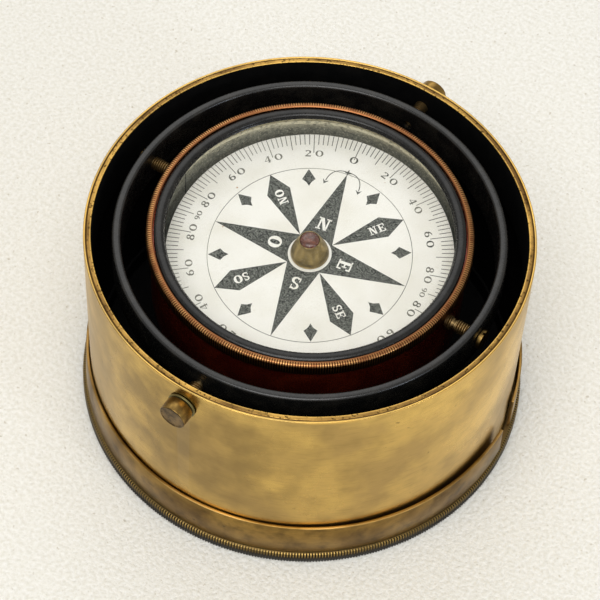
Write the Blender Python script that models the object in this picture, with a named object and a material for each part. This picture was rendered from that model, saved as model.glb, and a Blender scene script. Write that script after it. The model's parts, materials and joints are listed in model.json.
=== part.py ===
"""Gimballed marine compass in a brass drum, standing in its upturned lid.

Metres, +Z up. The origin is under the middle of the lid, on the surface that it stands on.
The outer gimbal axis, case to ring, lies along Y. The inner one, ring to bowl, lies along X.
"""

import math

import bmesh
import bpy
from mathutils import Matrix, Vector

# Clearances
SEAT_GAP = 0.0003            # between pieces that are soldered, screwed or laid together
PIVOT_GAP = 0.0003           # round a pivot tip in its socket
LID_SLIP = 0.0010            # between the case and the skirt of the lid

# Bowl, whose radius follows from the card that it holds
CARD_EDGE_GAP = 0.0017       # between the card and the ledge
BOWL_SHEET = 0.0014
BOWL_DEPTH = 0.0440          # below the pivot axes
BOWL_CORNER = 0.0220         # round the bottom edge
BOWL_WALL_RISE = 0.0075      # above the pivot axes
LEDGE_RISE = 0.0041          # top of the ledge that carries the glass
LEDGE_THICKNESS = 0.0015
LEDGE_WIDTH = 0.0014

# Glass, its washer, the ring that holds it down and the bezel
GLASS_THICKNESS = 0.0020
WASHER_THICKNESS = 0.0009
RETAINER_WIDTH = 0.0038      # from the window to the bezel
RETAINER_INNER_THICKNESS = 0.0008
RETAINER_SLOPE = 0.0008      # rise of the retainer from the window to the bezel
BEZEL_SKIRT = 0.0011
BEZEL_SKIRT_DROP = 0.0030    # overlap of the bezel on the wall of the bowl
BEZEL_CROWN = 0.0016         # bezel above the wall of the bowl
BEZEL_LIP_WIDTH = 0.0012     # bezel inside its skirt

# Weight and pivot in the bowl
WEIGHT_EDGE_GAP = 0.0010     # between the weight and the rounding of the bowl
WEIGHT_THICKNESS = 0.0070
PEDESTAL_FOOT_RADIUS = 0.0090
PEDESTAL_FOOT = 0.0030
PEDESTAL_RADIUS = 0.0030
PEDESTAL_HEIGHT = 0.0220
PIN_RADIUS = 0.0009
PIN_POINT = 0.0025
PIN_SUNK = 0.0060            # length of the pin held in the pedestal

# Card
CARD_RADIUS = 0.0485
CARD_THICKNESS = 0.0008
CARD_BELOW_GLASS = 0.0103
CARD_HEADING = math.radians(100.7)   # where north lies, from +X
CARD_DIP = math.radians(4.2)         # slope of the card as it hangs on the point of the pin
CARD_DIP_SIDE = math.radians(273.0)  # where its low side lies, from +X
CAP_BASE_RADIUS = 0.0065
CAP_TOP_RADIUS = 0.0036
CAP_HEIGHT = 0.0084
CAP_SPIGOT_RADIUS = 0.0034
CAP_SPIGOT = 0.0036
CAP_BORE_RADIUS = 0.0023
JEWEL_RADIUS = 0.0029
JEWEL_THICKNESS = 0.0022
JEWEL_DOME = 0.0005
HUB_RADIUS = 0.0060
HUB_THICKNESS = 0.0018
MAGNET_LENGTH = 0.0600
MAGNET_WIDTH = 0.0050
MAGNET_THICKNESS = 0.0022
MAGNET_SPREAD = 0.0240       # between the middles of the two magnets

# Gimbal ring and its slotted pivot screws
BOWL_SWING_GAP = 0.0096      # between the bowl and the ring
RING_THICKNESS = 0.0031
RING_HEIGHT = 0.0150
RING_ROUNDING = 0.0007
RING_SWING_GAP = 0.00675     # between the ring and the band in the case
RING_SCREW_RADIUS = 0.0021
TIP_RADIUS = 0.0015
TIP_LENGTH = 0.0021
SLOT_HEAD_RADIUS = 0.0035
SLOT_HEAD_THICKNESS = 0.0015
SLOT_WIDTH = 0.0010
SLOT_DEPTH = 0.0008
BUSH_RADIUS = 0.0036
BUSH_LENGTH = 0.0027

# Case
PIVOT_DROP = 0.0090          # pivot axes below the rim
CASE_SHEET = 0.00075
BAND_THICKNESS = 0.0015
BAND_DEPTH = 0.0200
FLOOR_SHEET = 0.0010
FLOOR_FLANGE = 0.0080
FLOOR_SWING_GAP = 0.0127     # under the bowl as it swings
CASE_SCREW_RADIUS = 0.00225
CASE_HEAD_RADIUS = 0.0050
CASE_HEAD_LENGTH = 0.0050
CASE_HEAD_BEVEL = 0.0004
COLLAR_RADIUS = 0.0055
COLLAR_THICKNESS = 0.0006

# Lid
LID_PLATE = 0.0020
LID_SEAT_SLIP = 0.0006       # between the case and the edge of the lid
LID_EDGE_LEDGE = 0.0011      # edge outside the skirt
LID_EDGE_HEIGHT = 0.0050
LID_EDGE_ROUNDING = 0.0006
LID_SKIRT_SHEET = 0.0010
LID_SKIRT_HEIGHT = 0.0151
LID_NOTCH_CLEARANCE = 0.0010  # each side of the head of a case screw
LID_TURN = math.radians(9.5)  # where the notches lie, from X

# Facets
BIG_ROUND = 72
MID_ROUND = 56
SMALL_ROUND = 18
ARC_STEPS = 5
CUT_MARGIN = 0.0020          # how far a cutter runs past what it cuts

# Sizes that follow from the ones above
BOWL_INNER_RADIUS = CARD_RADIUS + CARD_EDGE_GAP + LEDGE_WIDTH
BOWL_RADIUS = BOWL_INNER_RADIUS + BOWL_SHEET
WEIGHT_RADIUS = BOWL_RADIUS - BOWL_CORNER - WEIGHT_EDGE_GAP
SWEEP_RADIUS = math.hypot(BOWL_RADIUS - BOWL_CORNER, BOWL_DEPTH - BOWL_CORNER) + BOWL_CORNER
RING_INNER_RADIUS = BOWL_RADIUS + BOWL_SWING_GAP
RING_OUTER_RADIUS = RING_INNER_RADIUS + RING_THICKNESS
BAND_INNER_RADIUS = RING_OUTER_RADIUS + RING_SWING_GAP
BAND_OUTER_RADIUS = BAND_INNER_RADIUS + BAND_THICKNESS
CASE_INNER_RADIUS = BAND_OUTER_RADIUS + SEAT_GAP
CASE_RADIUS = CASE_INNER_RADIUS + CASE_SHEET
CASE_BOTTOM = LID_PLATE + SEAT_GAP
PIVOT_HEIGHT = CASE_BOTTOM + FLOOR_SHEET + FLOOR_SWING_GAP + SWEEP_RADIUS
CASE_HEIGHT = PIVOT_HEIGHT + PIVOT_DROP - CASE_BOTTOM
SKIRT_INNER_RADIUS = CASE_RADIUS + LID_SLIP
SKIRT_OUTER_RADIUS = SKIRT_INNER_RADIUS + LID_SKIRT_SHEET
LID_EDGE_INNER_RADIUS = CASE_RADIUS + LID_SEAT_SLIP
LID_EDGE_RADIUS = SKIRT_OUTER_RADIUS + LID_EDGE_LEDGE
CASE_HOLE_RADIUS = CASE_SCREW_RADIUS + SEAT_GAP
RING_HOLE_RADIUS = RING_SCREW_RADIUS + SEAT_GAP
SOCKET_RADIUS = TIP_RADIUS + PIVOT_GAP
WASHER_BOTTOM = LEDGE_RISE + SEAT_GAP
GLASS_BOTTOM = WASHER_BOTTOM + WASHER_THICKNESS + SEAT_GAP
GLASS_TOP = GLASS_BOTTOM + GLASS_THICKNESS
RETAINER_BOTTOM = max(GLASS_TOP, BOWL_WALL_RISE) + SEAT_GAP
BEZEL_TOP = RETAINER_BOTTOM + BEZEL_CROWN
BEZEL_INNER_RADIUS = BOWL_RADIUS + SEAT_GAP
BEZEL_RADIUS = BEZEL_INNER_RADIUS + BEZEL_SKIRT
BEZEL_LIP_RADIUS = BEZEL_INNER_RADIUS - BEZEL_LIP_WIDTH
RETAINER_RADIUS = BEZEL_LIP_RADIUS - SEAT_GAP
WINDOW_RADIUS = RETAINER_RADIUS - RETAINER_WIDTH
BOWL_FLOOR_TOP = -BOWL_DEPTH + BOWL_SHEET
WEIGHT_BOTTOM = BOWL_FLOOR_TOP + SEAT_GAP
PEDESTAL_BOTTOM = WEIGHT_BOTTOM + WEIGHT_THICKNESS + SEAT_GAP
PEDESTAL_TOP = PEDESTAL_BOTTOM + PEDESTAL_HEIGHT
CARD_TOP = GLASS_BOTTOM - CARD_BELOW_GLASS
CAP_BOTTOM = CARD_TOP + SEAT_GAP
CAP_TOP = CAP_BOTTOM + CAP_HEIGHT
JEWEL_BOTTOM = CAP_TOP - JEWEL_THICKNESS
PIN_TOP = JEWEL_BOTTOM - SEAT_GAP


def clear_scene():
    for obj in list(bpy.data.objects):
        bpy.data.objects.remove(obj)


def material(name, colour, roughness, metallic, alpha=1.0):
    made = bpy.data.materials.new(name)
    made.use_nodes = True
    shader = made.node_tree.nodes["Principled BSDF"]
    shader.inputs["Base Color"].default_value = (*colour, 1.0)
    shader.inputs["Roughness"].default_value = roughness
    shader.inputs["Metallic"].default_value = metallic
    shader.inputs["Alpha"].default_value = alpha
    return made


def frame(name, height, parent=None):
    """An empty that carries the pieces of one body, on the axis that the body turns about."""
    empty = bpy.data.objects.new(name, None)
    bpy.context.scene.collection.objects.link(empty)
    empty.location.z = height
    empty.parent = parent
    return empty


def add_object(name, mesh_builder, finish, parent):
    """Turns a bmesh into an object with its normals outwards, under a body's frame."""
    bmesh.ops.remove_doubles(mesh_builder, verts=mesh_builder.verts, dist=1e-7)
    bmesh.ops.recalc_face_normals(mesh_builder, faces=mesh_builder.faces)
    mesh = bpy.data.meshes.new(name)
    mesh_builder.to_mesh(mesh)
    mesh_builder.free()
    mesh.shade_smooth()
    mesh.set_sharp_from_angle(angle=math.radians(30))
    if finish:
        mesh.materials.append(finish)
    obj = bpy.data.objects.new(name, mesh)
    bpy.context.scene.collection.objects.link(obj)
    obj.parent = parent
    return obj


def arc(centre, radius, start, end, steps=ARC_STEPS):
    """Points of an arc in the (radius, height) plane, angles in degrees from +radius."""
    angles = [math.radians(start + (end - start) * i / steps) for i in range(steps + 1)]
    return [(centre[0] + radius * math.cos(a), centre[1] + radius * math.sin(a)) for a in angles]


def spun(profile, segments, start=0.0, turn=2 * math.pi):
    """A bmesh of a closed outline turned about Z. The outline's points are (radius, height)."""
    shape = bmesh.new()
    points = [shape.verts.new((radius, 0.0, height)) for radius, height in profile]
    edges = [shape.edges.new((a, b)) for a, b in zip(points, points[1:] + points[:1])]
    on_axis = [e for e in edges if all(v.co.x < 1e-9 for v in e.verts)]
    bmesh.ops.delete(shape, geom=on_axis, context="EDGES_FACES")
    whole = turn > 2 * math.pi - 1e-6
    bmesh.ops.spin(
        shape,
        geom=list(shape.verts) + list(shape.edges),
        cent=(0.0, 0.0, 0.0),
        axis=(0.0, 0.0, 1.0),
        angle=turn,
        steps=segments,
        use_merge=whole,
    )
    if not whole:
        bmesh.ops.holes_fill(shape, edges=shape.edges)
    bmesh.ops.rotate(shape, verts=shape.verts, matrix=Matrix.Rotation(start, 3, "Z"))
    bmesh.ops.remove_doubles(shape, verts=shape.verts, dist=1e-7)
    return shape


def turned(name, profile, segments, finish, parent):
    return add_object(name, spun(profile, segments), finish, parent)


def along(direction):
    """Turns a shape made about Z so that its +Z points along a horizontal direction."""
    return Vector((0.0, 0.0, 1.0)).rotation_difference(Vector(direction)).to_matrix().to_4x4()


def cutter(name, shape, parent):
    tool = add_object(name, shape, None, parent)
    tool.hide_render = True
    tool.display_type = "WIRE"
    return tool


def cut(obj, tool):
    modifier = obj.modifiers.new("cut_" + tool.name, "BOOLEAN")
    modifier.operation = "DIFFERENCE"
    modifier.object = tool


def rod(radius, start, end, direction, segments=SMALL_ROUND):
    """A round bar along a horizontal direction, between two distances from the axis."""
    shape = bmesh.new()
    bmesh.ops.create_cone(
        shape,
        cap_ends=True,
        segments=segments,
        radius1=radius,
        radius2=radius,
        depth=end - start,
        matrix=along(direction) @ Matrix.Translation((0.0, 0.0, (start + end) / 2)),
    )
    return shape


def bar(length, width, thickness, place):
    shape = bmesh.new()
    size = Matrix.Diagonal((length, width, thickness, 1.0))
    bmesh.ops.create_cube(shape, size=1.0, matrix=place @ size)
    return shape


def lid_plate(finish, parent):
    """Flat plate with a thick edge that stands up round the foot of the case."""
    edge = LID_EDGE_RADIUS
    rounding = min(LID_EDGE_ROUNDING, LID_EDGE_HEIGHT / 3)
    profile = [
        (0.0, 0.0),
        *arc((edge - rounding, rounding), rounding, -90, 0, 2),
        *arc((edge - rounding, LID_EDGE_HEIGHT - rounding), rounding, 0, 90, 2),
        (LID_EDGE_INNER_RADIUS, LID_EDGE_HEIGHT),
        (LID_EDGE_INNER_RADIUS, LID_PLATE),
        (0.0, LID_PLATE),
    ]
    turned("lid_plate", profile, BIG_ROUND, finish, parent)


def lid_skirts(finish, parent):
    """The two halves of the lid's wall. The notches between them pass the heads of the case screws."""
    bottom = LID_EDGE_HEIGHT + SEAT_GAP
    profile = [
        (SKIRT_INNER_RADIUS, bottom),
        (SKIRT_OUTER_RADIUS, bottom),
        (SKIRT_OUTER_RADIUS, bottom + LID_SKIRT_HEIGHT),
        (SKIRT_INNER_RADIUS, bottom + LID_SKIRT_HEIGHT),
    ]
    half_notch = math.asin((CASE_HEAD_RADIUS + LID_NOTCH_CLEARANCE) / SKIRT_INNER_RADIUS)
    turn = math.pi - 2 * half_notch
    for side, start in (("far", LID_TURN), ("near", LID_TURN + math.pi)):
        shape = spun(profile, BIG_ROUND // 2, start + half_notch, turn)
        add_object("lid_skirt_" + side, shape, finish, parent)


def pivot_holes(name, radius, start, end, axis, parent):
    """One cutter for a pair of opposite holes, from one distance off the axis to another."""
    shape = rod(radius, start, end, axis)
    other = rod(radius, start, end, [-c for c in axis])
    mesh = bpy.data.meshes.new(name + "_far")
    other.to_mesh(mesh)
    other.free()
    shape.from_mesh(mesh)
    return cutter(name, shape, parent)


def case(brass, parent):
    """Drum: an outer tube, the band inside its rim that the screws thread through, and the floor."""
    pivot = CASE_HEIGHT - PIVOT_DROP
    tube = [
        (CASE_INNER_RADIUS, 0.0),
        (CASE_RADIUS, 0.0),
        (CASE_RADIUS, CASE_HEIGHT),
        (CASE_INNER_RADIUS, CASE_HEIGHT),
    ]
    band = [
        (BAND_INNER_RADIUS, CASE_HEIGHT - BAND_DEPTH),
        (BAND_OUTER_RADIUS, CASE_HEIGHT - BAND_DEPTH),
        (BAND_OUTER_RADIUS, CASE_HEIGHT),
        (BAND_INNER_RADIUS, CASE_HEIGHT),
    ]
    flange = BAND_OUTER_RADIUS - FLOOR_SHEET
    floor = [
        (0.0, 0.0),
        *arc((BAND_OUTER_RADIUS - FLOOR_SHEET, FLOOR_SHEET), FLOOR_SHEET, -90, 0, 3),
        (BAND_OUTER_RADIUS, FLOOR_FLANGE),
        (flange, FLOOR_FLANGE),
        (flange, FLOOR_SHEET),
        (0.0, FLOOR_SHEET),
    ]
    shell = turned("case_shell", tube, BIG_ROUND, brass, parent)
    rim_band = turned("case_rim_band", band, BIG_ROUND, brass, parent)
    turned("case_floor", floor, BIG_ROUND, brass, parent)
    holes = pivot_holes(
        "case_screw_holes",
        CASE_HOLE_RADIUS,
        BAND_INNER_RADIUS - CUT_MARGIN,
        CASE_RADIUS + CUT_MARGIN,
        (0.0, 1.0, 0.0),
        parent,
    )
    holes.location.z = pivot
    cut(shell, holes)
    cut(rim_band, holes)


def case_screws(brass, parent):
    """Round-headed pivot screws through the drum, each with a thin collar under its head."""
    collar_start = CASE_RADIUS + SEAT_GAP
    head_start = collar_start + COLLAR_THICKNESS + SEAT_GAP
    head_end = head_start + CASE_HEAD_LENGTH
    shank_end = RING_OUTER_RADIUS + SEAT_GAP
    bevel = min(CASE_HEAD_BEVEL, CASE_HEAD_LENGTH / 3)
    screw = [
        (0.0, shank_end - TIP_LENGTH),
        (TIP_RADIUS, shank_end - TIP_LENGTH),
        (TIP_RADIUS, shank_end),
        (CASE_SCREW_RADIUS, shank_end),
        (CASE_SCREW_RADIUS, head_start),
        (CASE_HEAD_RADIUS, head_start),
        (CASE_HEAD_RADIUS, head_end - bevel),
        (CASE_HEAD_RADIUS - bevel, head_end),
        (0.0, head_end),
    ]
    collar = [
        (CASE_HOLE_RADIUS, collar_start),
        (COLLAR_RADIUS, collar_start),
        (COLLAR_RADIUS, collar_start + COLLAR_THICKNESS),
        (CASE_HOLE_RADIUS, collar_start + COLLAR_THICKNESS),
    ]
    for side, direction in (("near", (0.0, -1.0, 0.0)), ("far", (0.0, 1.0, 0.0))):
        for piece, profile in (("screw", screw), ("collar", collar)):
            shape = spun(profile, SMALL_ROUND)
            shape.transform(along(direction))
            placed = add_object(f"case_pivot_{piece}_{side}", shape, brass, parent)
            placed.location.z = CASE_HEIGHT - PIVOT_DROP


def gimbal_ring(finish, parent):
    """Flat ring with rounded edges, drilled for the tips of the case screws and for its own screws."""
    half = RING_HEIGHT / 2
    rounding = min(RING_ROUNDING, RING_THICKNESS / 3)
    inner, outer = RING_INNER_RADIUS + rounding, RING_OUTER_RADIUS - rounding
    profile = [
        *arc((inner, -half + rounding), rounding, 180, 270, 1),
        *arc((outer, -half + rounding), rounding, 270, 360, 1),
        *arc((outer, half - rounding), rounding, 0, 90, 1),
        *arc((inner, half - rounding), rounding, 90, 180, 1),
    ]
    ring = turned("gimbal_ring", profile, BIG_ROUND, finish, parent)
    start, end = RING_INNER_RADIUS - CUT_MARGIN, RING_OUTER_RADIUS + CUT_MARGIN
    cut(ring, pivot_holes("ring_sockets", SOCKET_RADIUS, start, end, (0.0, 1.0, 0.0), parent))
    cut(ring, pivot_holes("ring_screw_holes", RING_HOLE_RADIUS, start, end, (1.0, 0.0, 0.0), parent))


def ring_screws(brass, parent):
    """Slotted pivot screws through the ring, whose tips carry the bowl."""
    head_start = RING_OUTER_RADIUS + SEAT_GAP
    head_end = head_start + SLOT_HEAD_THICKNESS
    shank_end = BOWL_RADIUS + SEAT_GAP + BUSH_LENGTH + SEAT_GAP
    screw = [
        (0.0, shank_end - TIP_LENGTH),
        (TIP_RADIUS, shank_end - TIP_LENGTH),
        (TIP_RADIUS, shank_end),
        (RING_SCREW_RADIUS, shank_end),
        (RING_SCREW_RADIUS, head_start),
        (SLOT_HEAD_RADIUS, head_start),
        (SLOT_HEAD_RADIUS, head_end),
        (0.0, head_end),
    ]
    for side, sign in (("right", 1.0), ("left", -1.0)):
        shape = spun(screw, SMALL_ROUND)
        shape.transform(along((sign, 0.0, 0.0)))
        placed = add_object(f"ring_pivot_screw_{side}", shape, brass, parent)
        middle = sign * (head_end - SLOT_DEPTH / 2 + CUT_MARGIN / 2)
        width = 2 * (SLOT_HEAD_RADIUS + CUT_MARGIN)
        depth = SLOT_DEPTH + CUT_MARGIN
        place = Matrix.Translation((middle, 0.0, 0.0))
        cut(placed, cutter(f"slot_{side}", bar(depth, SLOT_WIDTH, width, place), parent))


def bowl(finish, parent):
    """Spun bowl with a rounded bottom edge and a ledge inside its rim for the glass."""
    corner = (BOWL_RADIUS - BOWL_CORNER, -BOWL_DEPTH + BOWL_CORNER)
    ledge_radius = BOWL_INNER_RADIUS - LEDGE_WIDTH
    ledge_bottom = LEDGE_RISE - LEDGE_THICKNESS
    profile = [
        (0.0, -BOWL_DEPTH),
        *arc(corner, BOWL_CORNER, -90, 0),
        (BOWL_RADIUS, BOWL_WALL_RISE),
        (BOWL_INNER_RADIUS, BOWL_WALL_RISE),
        (BOWL_INNER_RADIUS, LEDGE_RISE),
        (ledge_radius, LEDGE_RISE),
        (ledge_radius, ledge_bottom),
        (BOWL_INNER_RADIUS, ledge_bottom),
        *arc(corner, BOWL_CORNER - BOWL_SHEET, 0, -90),
        (0.0, BOWL_FLOOR_TOP),
    ]
    turned("bowl", profile, MID_ROUND, finish, parent)


def bowl_bushes(brass, parent):
    """Bushes on the side of the bowl, whose blind holes take the tips of the ring screws."""
    start = BOWL_RADIUS + SEAT_GAP
    end = start + BUSH_LENGTH
    hole_end = end + SEAT_GAP - TIP_LENGTH - PIVOT_GAP
    profile = [
        (0.0, start),
        (BUSH_RADIUS, start),
        (BUSH_RADIUS, end),
        (SOCKET_RADIUS, end),
        (SOCKET_RADIUS, hole_end),
        (0.0, hole_end),
    ]
    for side, sign in (("right", 1.0), ("left", -1.0)):
        shape = spun(profile, SMALL_ROUND)
        shape.transform(along((sign, 0.0, 0.0)))
        add_object(f"bowl_bush_{side}", shape, brass, parent)


def bezel(finish, parent):
    """Ring over the rim of the bowl, with a rounded outer edge."""
    bottom = BOWL_WALL_RISE - BEZEL_SKIRT_DROP
    rounding = min(BEZEL_CROWN, BEZEL_SKIRT)
    profile = [
        (BEZEL_INNER_RADIUS, bottom),
        (BEZEL_RADIUS, bottom),
        *arc((BEZEL_RADIUS - rounding, BEZEL_TOP - rounding), rounding, 0, 90, 3),
        (BEZEL_LIP_RADIUS, BEZEL_TOP),
        (BEZEL_LIP_RADIUS, RETAINER_BOTTOM),
        (BEZEL_INNER_RADIUS, RETAINER_BOTTOM),
    ]
    turned("bezel", profile, MID_ROUND, finish, parent)


def retainer(finish, parent):
    """Ring inside the bezel that holds the glass down. Its top slopes towards the window."""
    inner_top = RETAINER_BOTTOM + RETAINER_INNER_THICKNESS
    profile = [
        (WINDOW_RADIUS, RETAINER_BOTTOM),
        (RETAINER_RADIUS, RETAINER_BOTTOM),
        (RETAINER_RADIUS, inner_top + RETAINER_SLOPE),
        ((RETAINER_RADIUS + WINDOW_RADIUS) / 2, inner_top + RETAINER_SLOPE * 0.75),
        (WINDOW_RADIUS, inner_top),
    ]
    turned("glass_retainer", profile, MID_ROUND, finish, parent)


def window(glass, putty, parent):
    """Flat glass on a soft washer, both inside the wall of the bowl."""
    radius = BOWL_INNER_RADIUS - SEAT_GAP
    pane = [(0.0, GLASS_BOTTOM), (radius, GLASS_BOTTOM), (radius, GLASS_TOP), (0.0, GLASS_TOP)]
    turned("glass", pane, MID_ROUND, glass, parent)
    inner = BOWL_INNER_RADIUS - LEDGE_WIDTH
    top = WASHER_BOTTOM + WASHER_THICKNESS
    washer = [(inner, WASHER_BOTTOM), (radius, WASHER_BOTTOM), (radius, top), (inner, top)]
    turned("glass_washer", washer, MID_ROUND, putty, parent)


def bowl_inside(lead, brass, steel, parent):
    """Lead weight that keeps the bowl upright, and the pedestal with its steel pivot pin."""
    top = WEIGHT_BOTTOM + WEIGHT_THICKNESS
    weight = [(0.0, WEIGHT_BOTTOM), (WEIGHT_RADIUS, WEIGHT_BOTTOM), (WEIGHT_RADIUS, top), (0.0, top)]
    turned("bowl_weight", weight, MID_ROUND, lead, parent)
    foot = PEDESTAL_BOTTOM + PEDESTAL_FOOT
    hole = PIN_RADIUS + SEAT_GAP
    pin_bottom = PEDESTAL_TOP - PIN_SUNK
    pedestal = [
        (0.0, PEDESTAL_BOTTOM),
        (PEDESTAL_FOOT_RADIUS, PEDESTAL_BOTTOM),
        (PEDESTAL_FOOT_RADIUS, foot),
        (PEDESTAL_RADIUS, foot + PEDESTAL_FOOT_RADIUS - PEDESTAL_RADIUS),
        (PEDESTAL_RADIUS, PEDESTAL_TOP),
        (hole, PEDESTAL_TOP),
        (hole, pin_bottom - SEAT_GAP),
        (0.0, pin_bottom - SEAT_GAP),
    ]
    turned("pivot_pedestal", pedestal, SMALL_ROUND, brass, parent)
    pin = [(0.0, pin_bottom), (PIN_RADIUS, pin_bottom), (PIN_RADIUS, PIN_TOP - PIN_POINT), (0.0, PIN_TOP)]
    turned("pivot_pin", pin, SMALL_ROUND, steel, parent)


def card(paper, brass, agate, steel, parent):
    """Card with its cap, jewel, hub nut and magnets. Heights here start at the top of the card."""
    hole = CAP_SPIGOT_RADIUS + SEAT_GAP
    disc = [(hole, -CARD_THICKNESS), (CARD_RADIUS, -CARD_THICKNESS), (CARD_RADIUS, 0.0), (hole, 0.0)]
    turned("compass_card", disc, MID_ROUND, paper, parent)
    bottom, top = SEAT_GAP, SEAT_GAP + CAP_HEIGHT
    jewel_seat = top - JEWEL_THICKNESS - SEAT_GAP
    seat_radius = JEWEL_RADIUS + SEAT_GAP
    cap = [
        (CAP_BORE_RADIUS, -CAP_SPIGOT),
        (CAP_SPIGOT_RADIUS, -CAP_SPIGOT),
        (CAP_SPIGOT_RADIUS, bottom),
        (CAP_BASE_RADIUS, bottom),
        (CAP_TOP_RADIUS, top - CAP_TOP_RADIUS / 8),
        (CAP_TOP_RADIUS - CAP_TOP_RADIUS / 12, top),
        (seat_radius, top),
        (seat_radius, jewel_seat),
        (CAP_BORE_RADIUS, jewel_seat),
    ]
    turned("card_cap", cap, SMALL_ROUND, brass, parent)
    under = top - JEWEL_THICKNESS
    jewel = [
        (0.0, under),
        (JEWEL_RADIUS, under),
        (JEWEL_RADIUS, top),
        (JEWEL_RADIUS * 0.6, top + JEWEL_DOME * 0.64),
        (0.0, top + JEWEL_DOME),
    ]
    turned("cap_jewel", jewel, SMALL_ROUND, agate, parent)
    hub_top = -CARD_THICKNESS - SEAT_GAP
    hub_bottom = hub_top - HUB_THICKNESS
    hub = [(hole, hub_bottom), (HUB_RADIUS, hub_bottom), (HUB_RADIUS, hub_top), (hole, hub_top)]
    turned("card_hub_nut", hub, SMALL_ROUND, brass, parent)
    height = -CARD_THICKNESS - SEAT_GAP - MAGNET_THICKNESS / 2
    turn = Matrix.Rotation(CARD_HEADING, 4, "Z")
    for side, sign in (("left", 1.0), ("right", -1.0)):
        place = turn @ Matrix.Translation((0.0, sign * MAGNET_SPREAD / 2, height))
        shape = bar(MAGNET_LENGTH, MAGNET_WIDTH, MAGNET_THICKNESS, place)
        add_object(f"magnet_{side}", shape, steel, parent)


def main():
    clear_scene()
    brass = material("aged_brass", (0.47, 0.32, 0.12), 0.35, 1.0)
    black = material("black_lacquer", (0.012, 0.012, 0.012), 0.35, 0.0)
    copper = material("lacquered_copper", (0.12, 0.03, 0.015), 0.3, 0.8)
    glass = material("window_glass", (0.95, 0.97, 0.95), 0.03, 0.0, 0.15)
    putty = material("black_putty", (0.02, 0.02, 0.018), 0.6, 0.0)
    paper = material("card_paper", (0.83, 0.82, 0.74), 0.7, 0.0)
    agate = material("brown_agate", (0.16, 0.05, 0.035), 0.15, 0.0)
    steel = material("dark_steel", (0.2, 0.2, 0.21), 0.4, 1.0)
    lead = material("cast_lead", (0.22, 0.22, 0.24), 0.6, 0.8)

    lid_frame = frame("lid_frame", 0.0)
    lid_plate(brass, lid_frame)
    lid_skirts(brass, lid_frame)

    case_frame = frame("case_frame", CASE_BOTTOM, lid_frame)
    case(brass, case_frame)
    case_screws(brass, case_frame)

    ring_frame = frame("ring_frame", PIVOT_HEIGHT - CASE_BOTTOM, case_frame)
    gimbal_ring(black, ring_frame)
    ring_screws(brass, ring_frame)

    bowl_frame = frame("bowl_frame", 0.0, ring_frame)
    bowl(copper, bowl_frame)
    bowl_bushes(brass, bowl_frame)
    bezel(copper, bowl_frame)
    retainer(black, bowl_frame)
    window(glass, putty, bowl_frame)
    bowl_inside(lead, brass, steel, bowl_frame)

    dip_frame = frame("dip_frame", PIN_TOP, bowl_frame)
    level_axis = Vector((-math.sin(CARD_DIP_SIDE), math.cos(CARD_DIP_SIDE), 0.0))
    dip_frame.rotation_euler = Matrix.Rotation(CARD_DIP, 3, level_axis).to_euler()
    card_frame = frame("card_frame", CARD_TOP - PIN_TOP, dip_frame)
    card(paper, brass, agate, steel, card_frame)


main()
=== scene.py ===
# %% [markdown]
# # A gimballed compass in its brass drum
# The imported CAD model comes in first. It fixes every size and every joint, and the rest of
# this file only dresses it: each visible piece is turned again with finer edges, and gets a
# finish. The CAD box is kept.

# %% Load the frame
import json
import math

import bpy
from mathutils import Matrix, Vector


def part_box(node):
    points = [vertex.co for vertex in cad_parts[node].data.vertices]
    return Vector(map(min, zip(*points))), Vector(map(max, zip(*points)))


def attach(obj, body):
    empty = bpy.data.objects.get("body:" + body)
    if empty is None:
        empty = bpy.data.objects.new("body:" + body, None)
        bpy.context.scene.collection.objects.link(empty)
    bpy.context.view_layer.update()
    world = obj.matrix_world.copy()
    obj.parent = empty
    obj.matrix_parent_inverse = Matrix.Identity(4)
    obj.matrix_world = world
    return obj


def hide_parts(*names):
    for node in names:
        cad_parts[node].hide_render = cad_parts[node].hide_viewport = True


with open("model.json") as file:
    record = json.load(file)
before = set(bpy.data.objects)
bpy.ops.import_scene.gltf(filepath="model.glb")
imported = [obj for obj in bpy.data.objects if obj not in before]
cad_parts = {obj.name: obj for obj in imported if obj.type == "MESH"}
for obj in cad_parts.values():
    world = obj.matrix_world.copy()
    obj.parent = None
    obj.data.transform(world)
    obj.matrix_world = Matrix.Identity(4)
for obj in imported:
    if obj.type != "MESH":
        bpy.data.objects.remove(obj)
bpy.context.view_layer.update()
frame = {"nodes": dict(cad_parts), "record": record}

# %% [markdown]
# ## Sizes
# The compass is nearly all turned work, so a few radii and heights say most of it. They are
# read from the boxes of the CAD nodes, because copied numbers would drift away from the model.
# A size that only one piece needs is read with that piece. MM turns millimetres into metres.

# %% Read the main sizes
MM = 0.001


def node_radius(node):
    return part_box(node)[1][1]


def node_heights(node):
    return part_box(node)[0][2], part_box(node)[1][2]


LID_RADIUS = node_radius("lid_plate")
LID_BOTTOM, LID_EDGE_TOP = node_heights("lid_plate")
SKIRT_BOTTOM, SKIRT_TOP = node_heights("lid_skirt_near")
CASE_RADIUS = node_radius("case_shell")
CASE_BOTTOM, RIM = node_heights("case_shell")
BAND_RADIUS = node_radius("case_rim_band")
BAND_INNER = BAND_RADIUS - 1.5 * MM
RING_RADIUS = node_radius("gimbal_ring")
RING_BOTTOM, RING_TOP = node_heights("gimbal_ring")
PIVOT = (RING_BOTTOM + RING_TOP) / 2
BOWL_RADIUS = node_radius("bowl")
BEZEL_BOTTOM, BEZEL_TOP = node_heights("bezel")
print("drum radius", round(CASE_RADIUS / MM, 2), "mm, rim at", round(RIM / MM, 2), "mm")

# %% [markdown]
# ## Camera
# The photograph looks down on the drum from the front at about 55 degrees, with a long lens
# and a few degrees of roll. The camera is built from the direction that it looks back along and
# from its roll, which are easier to read than three turns. It comes first, so that every later
# look is taken from the same place.

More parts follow.
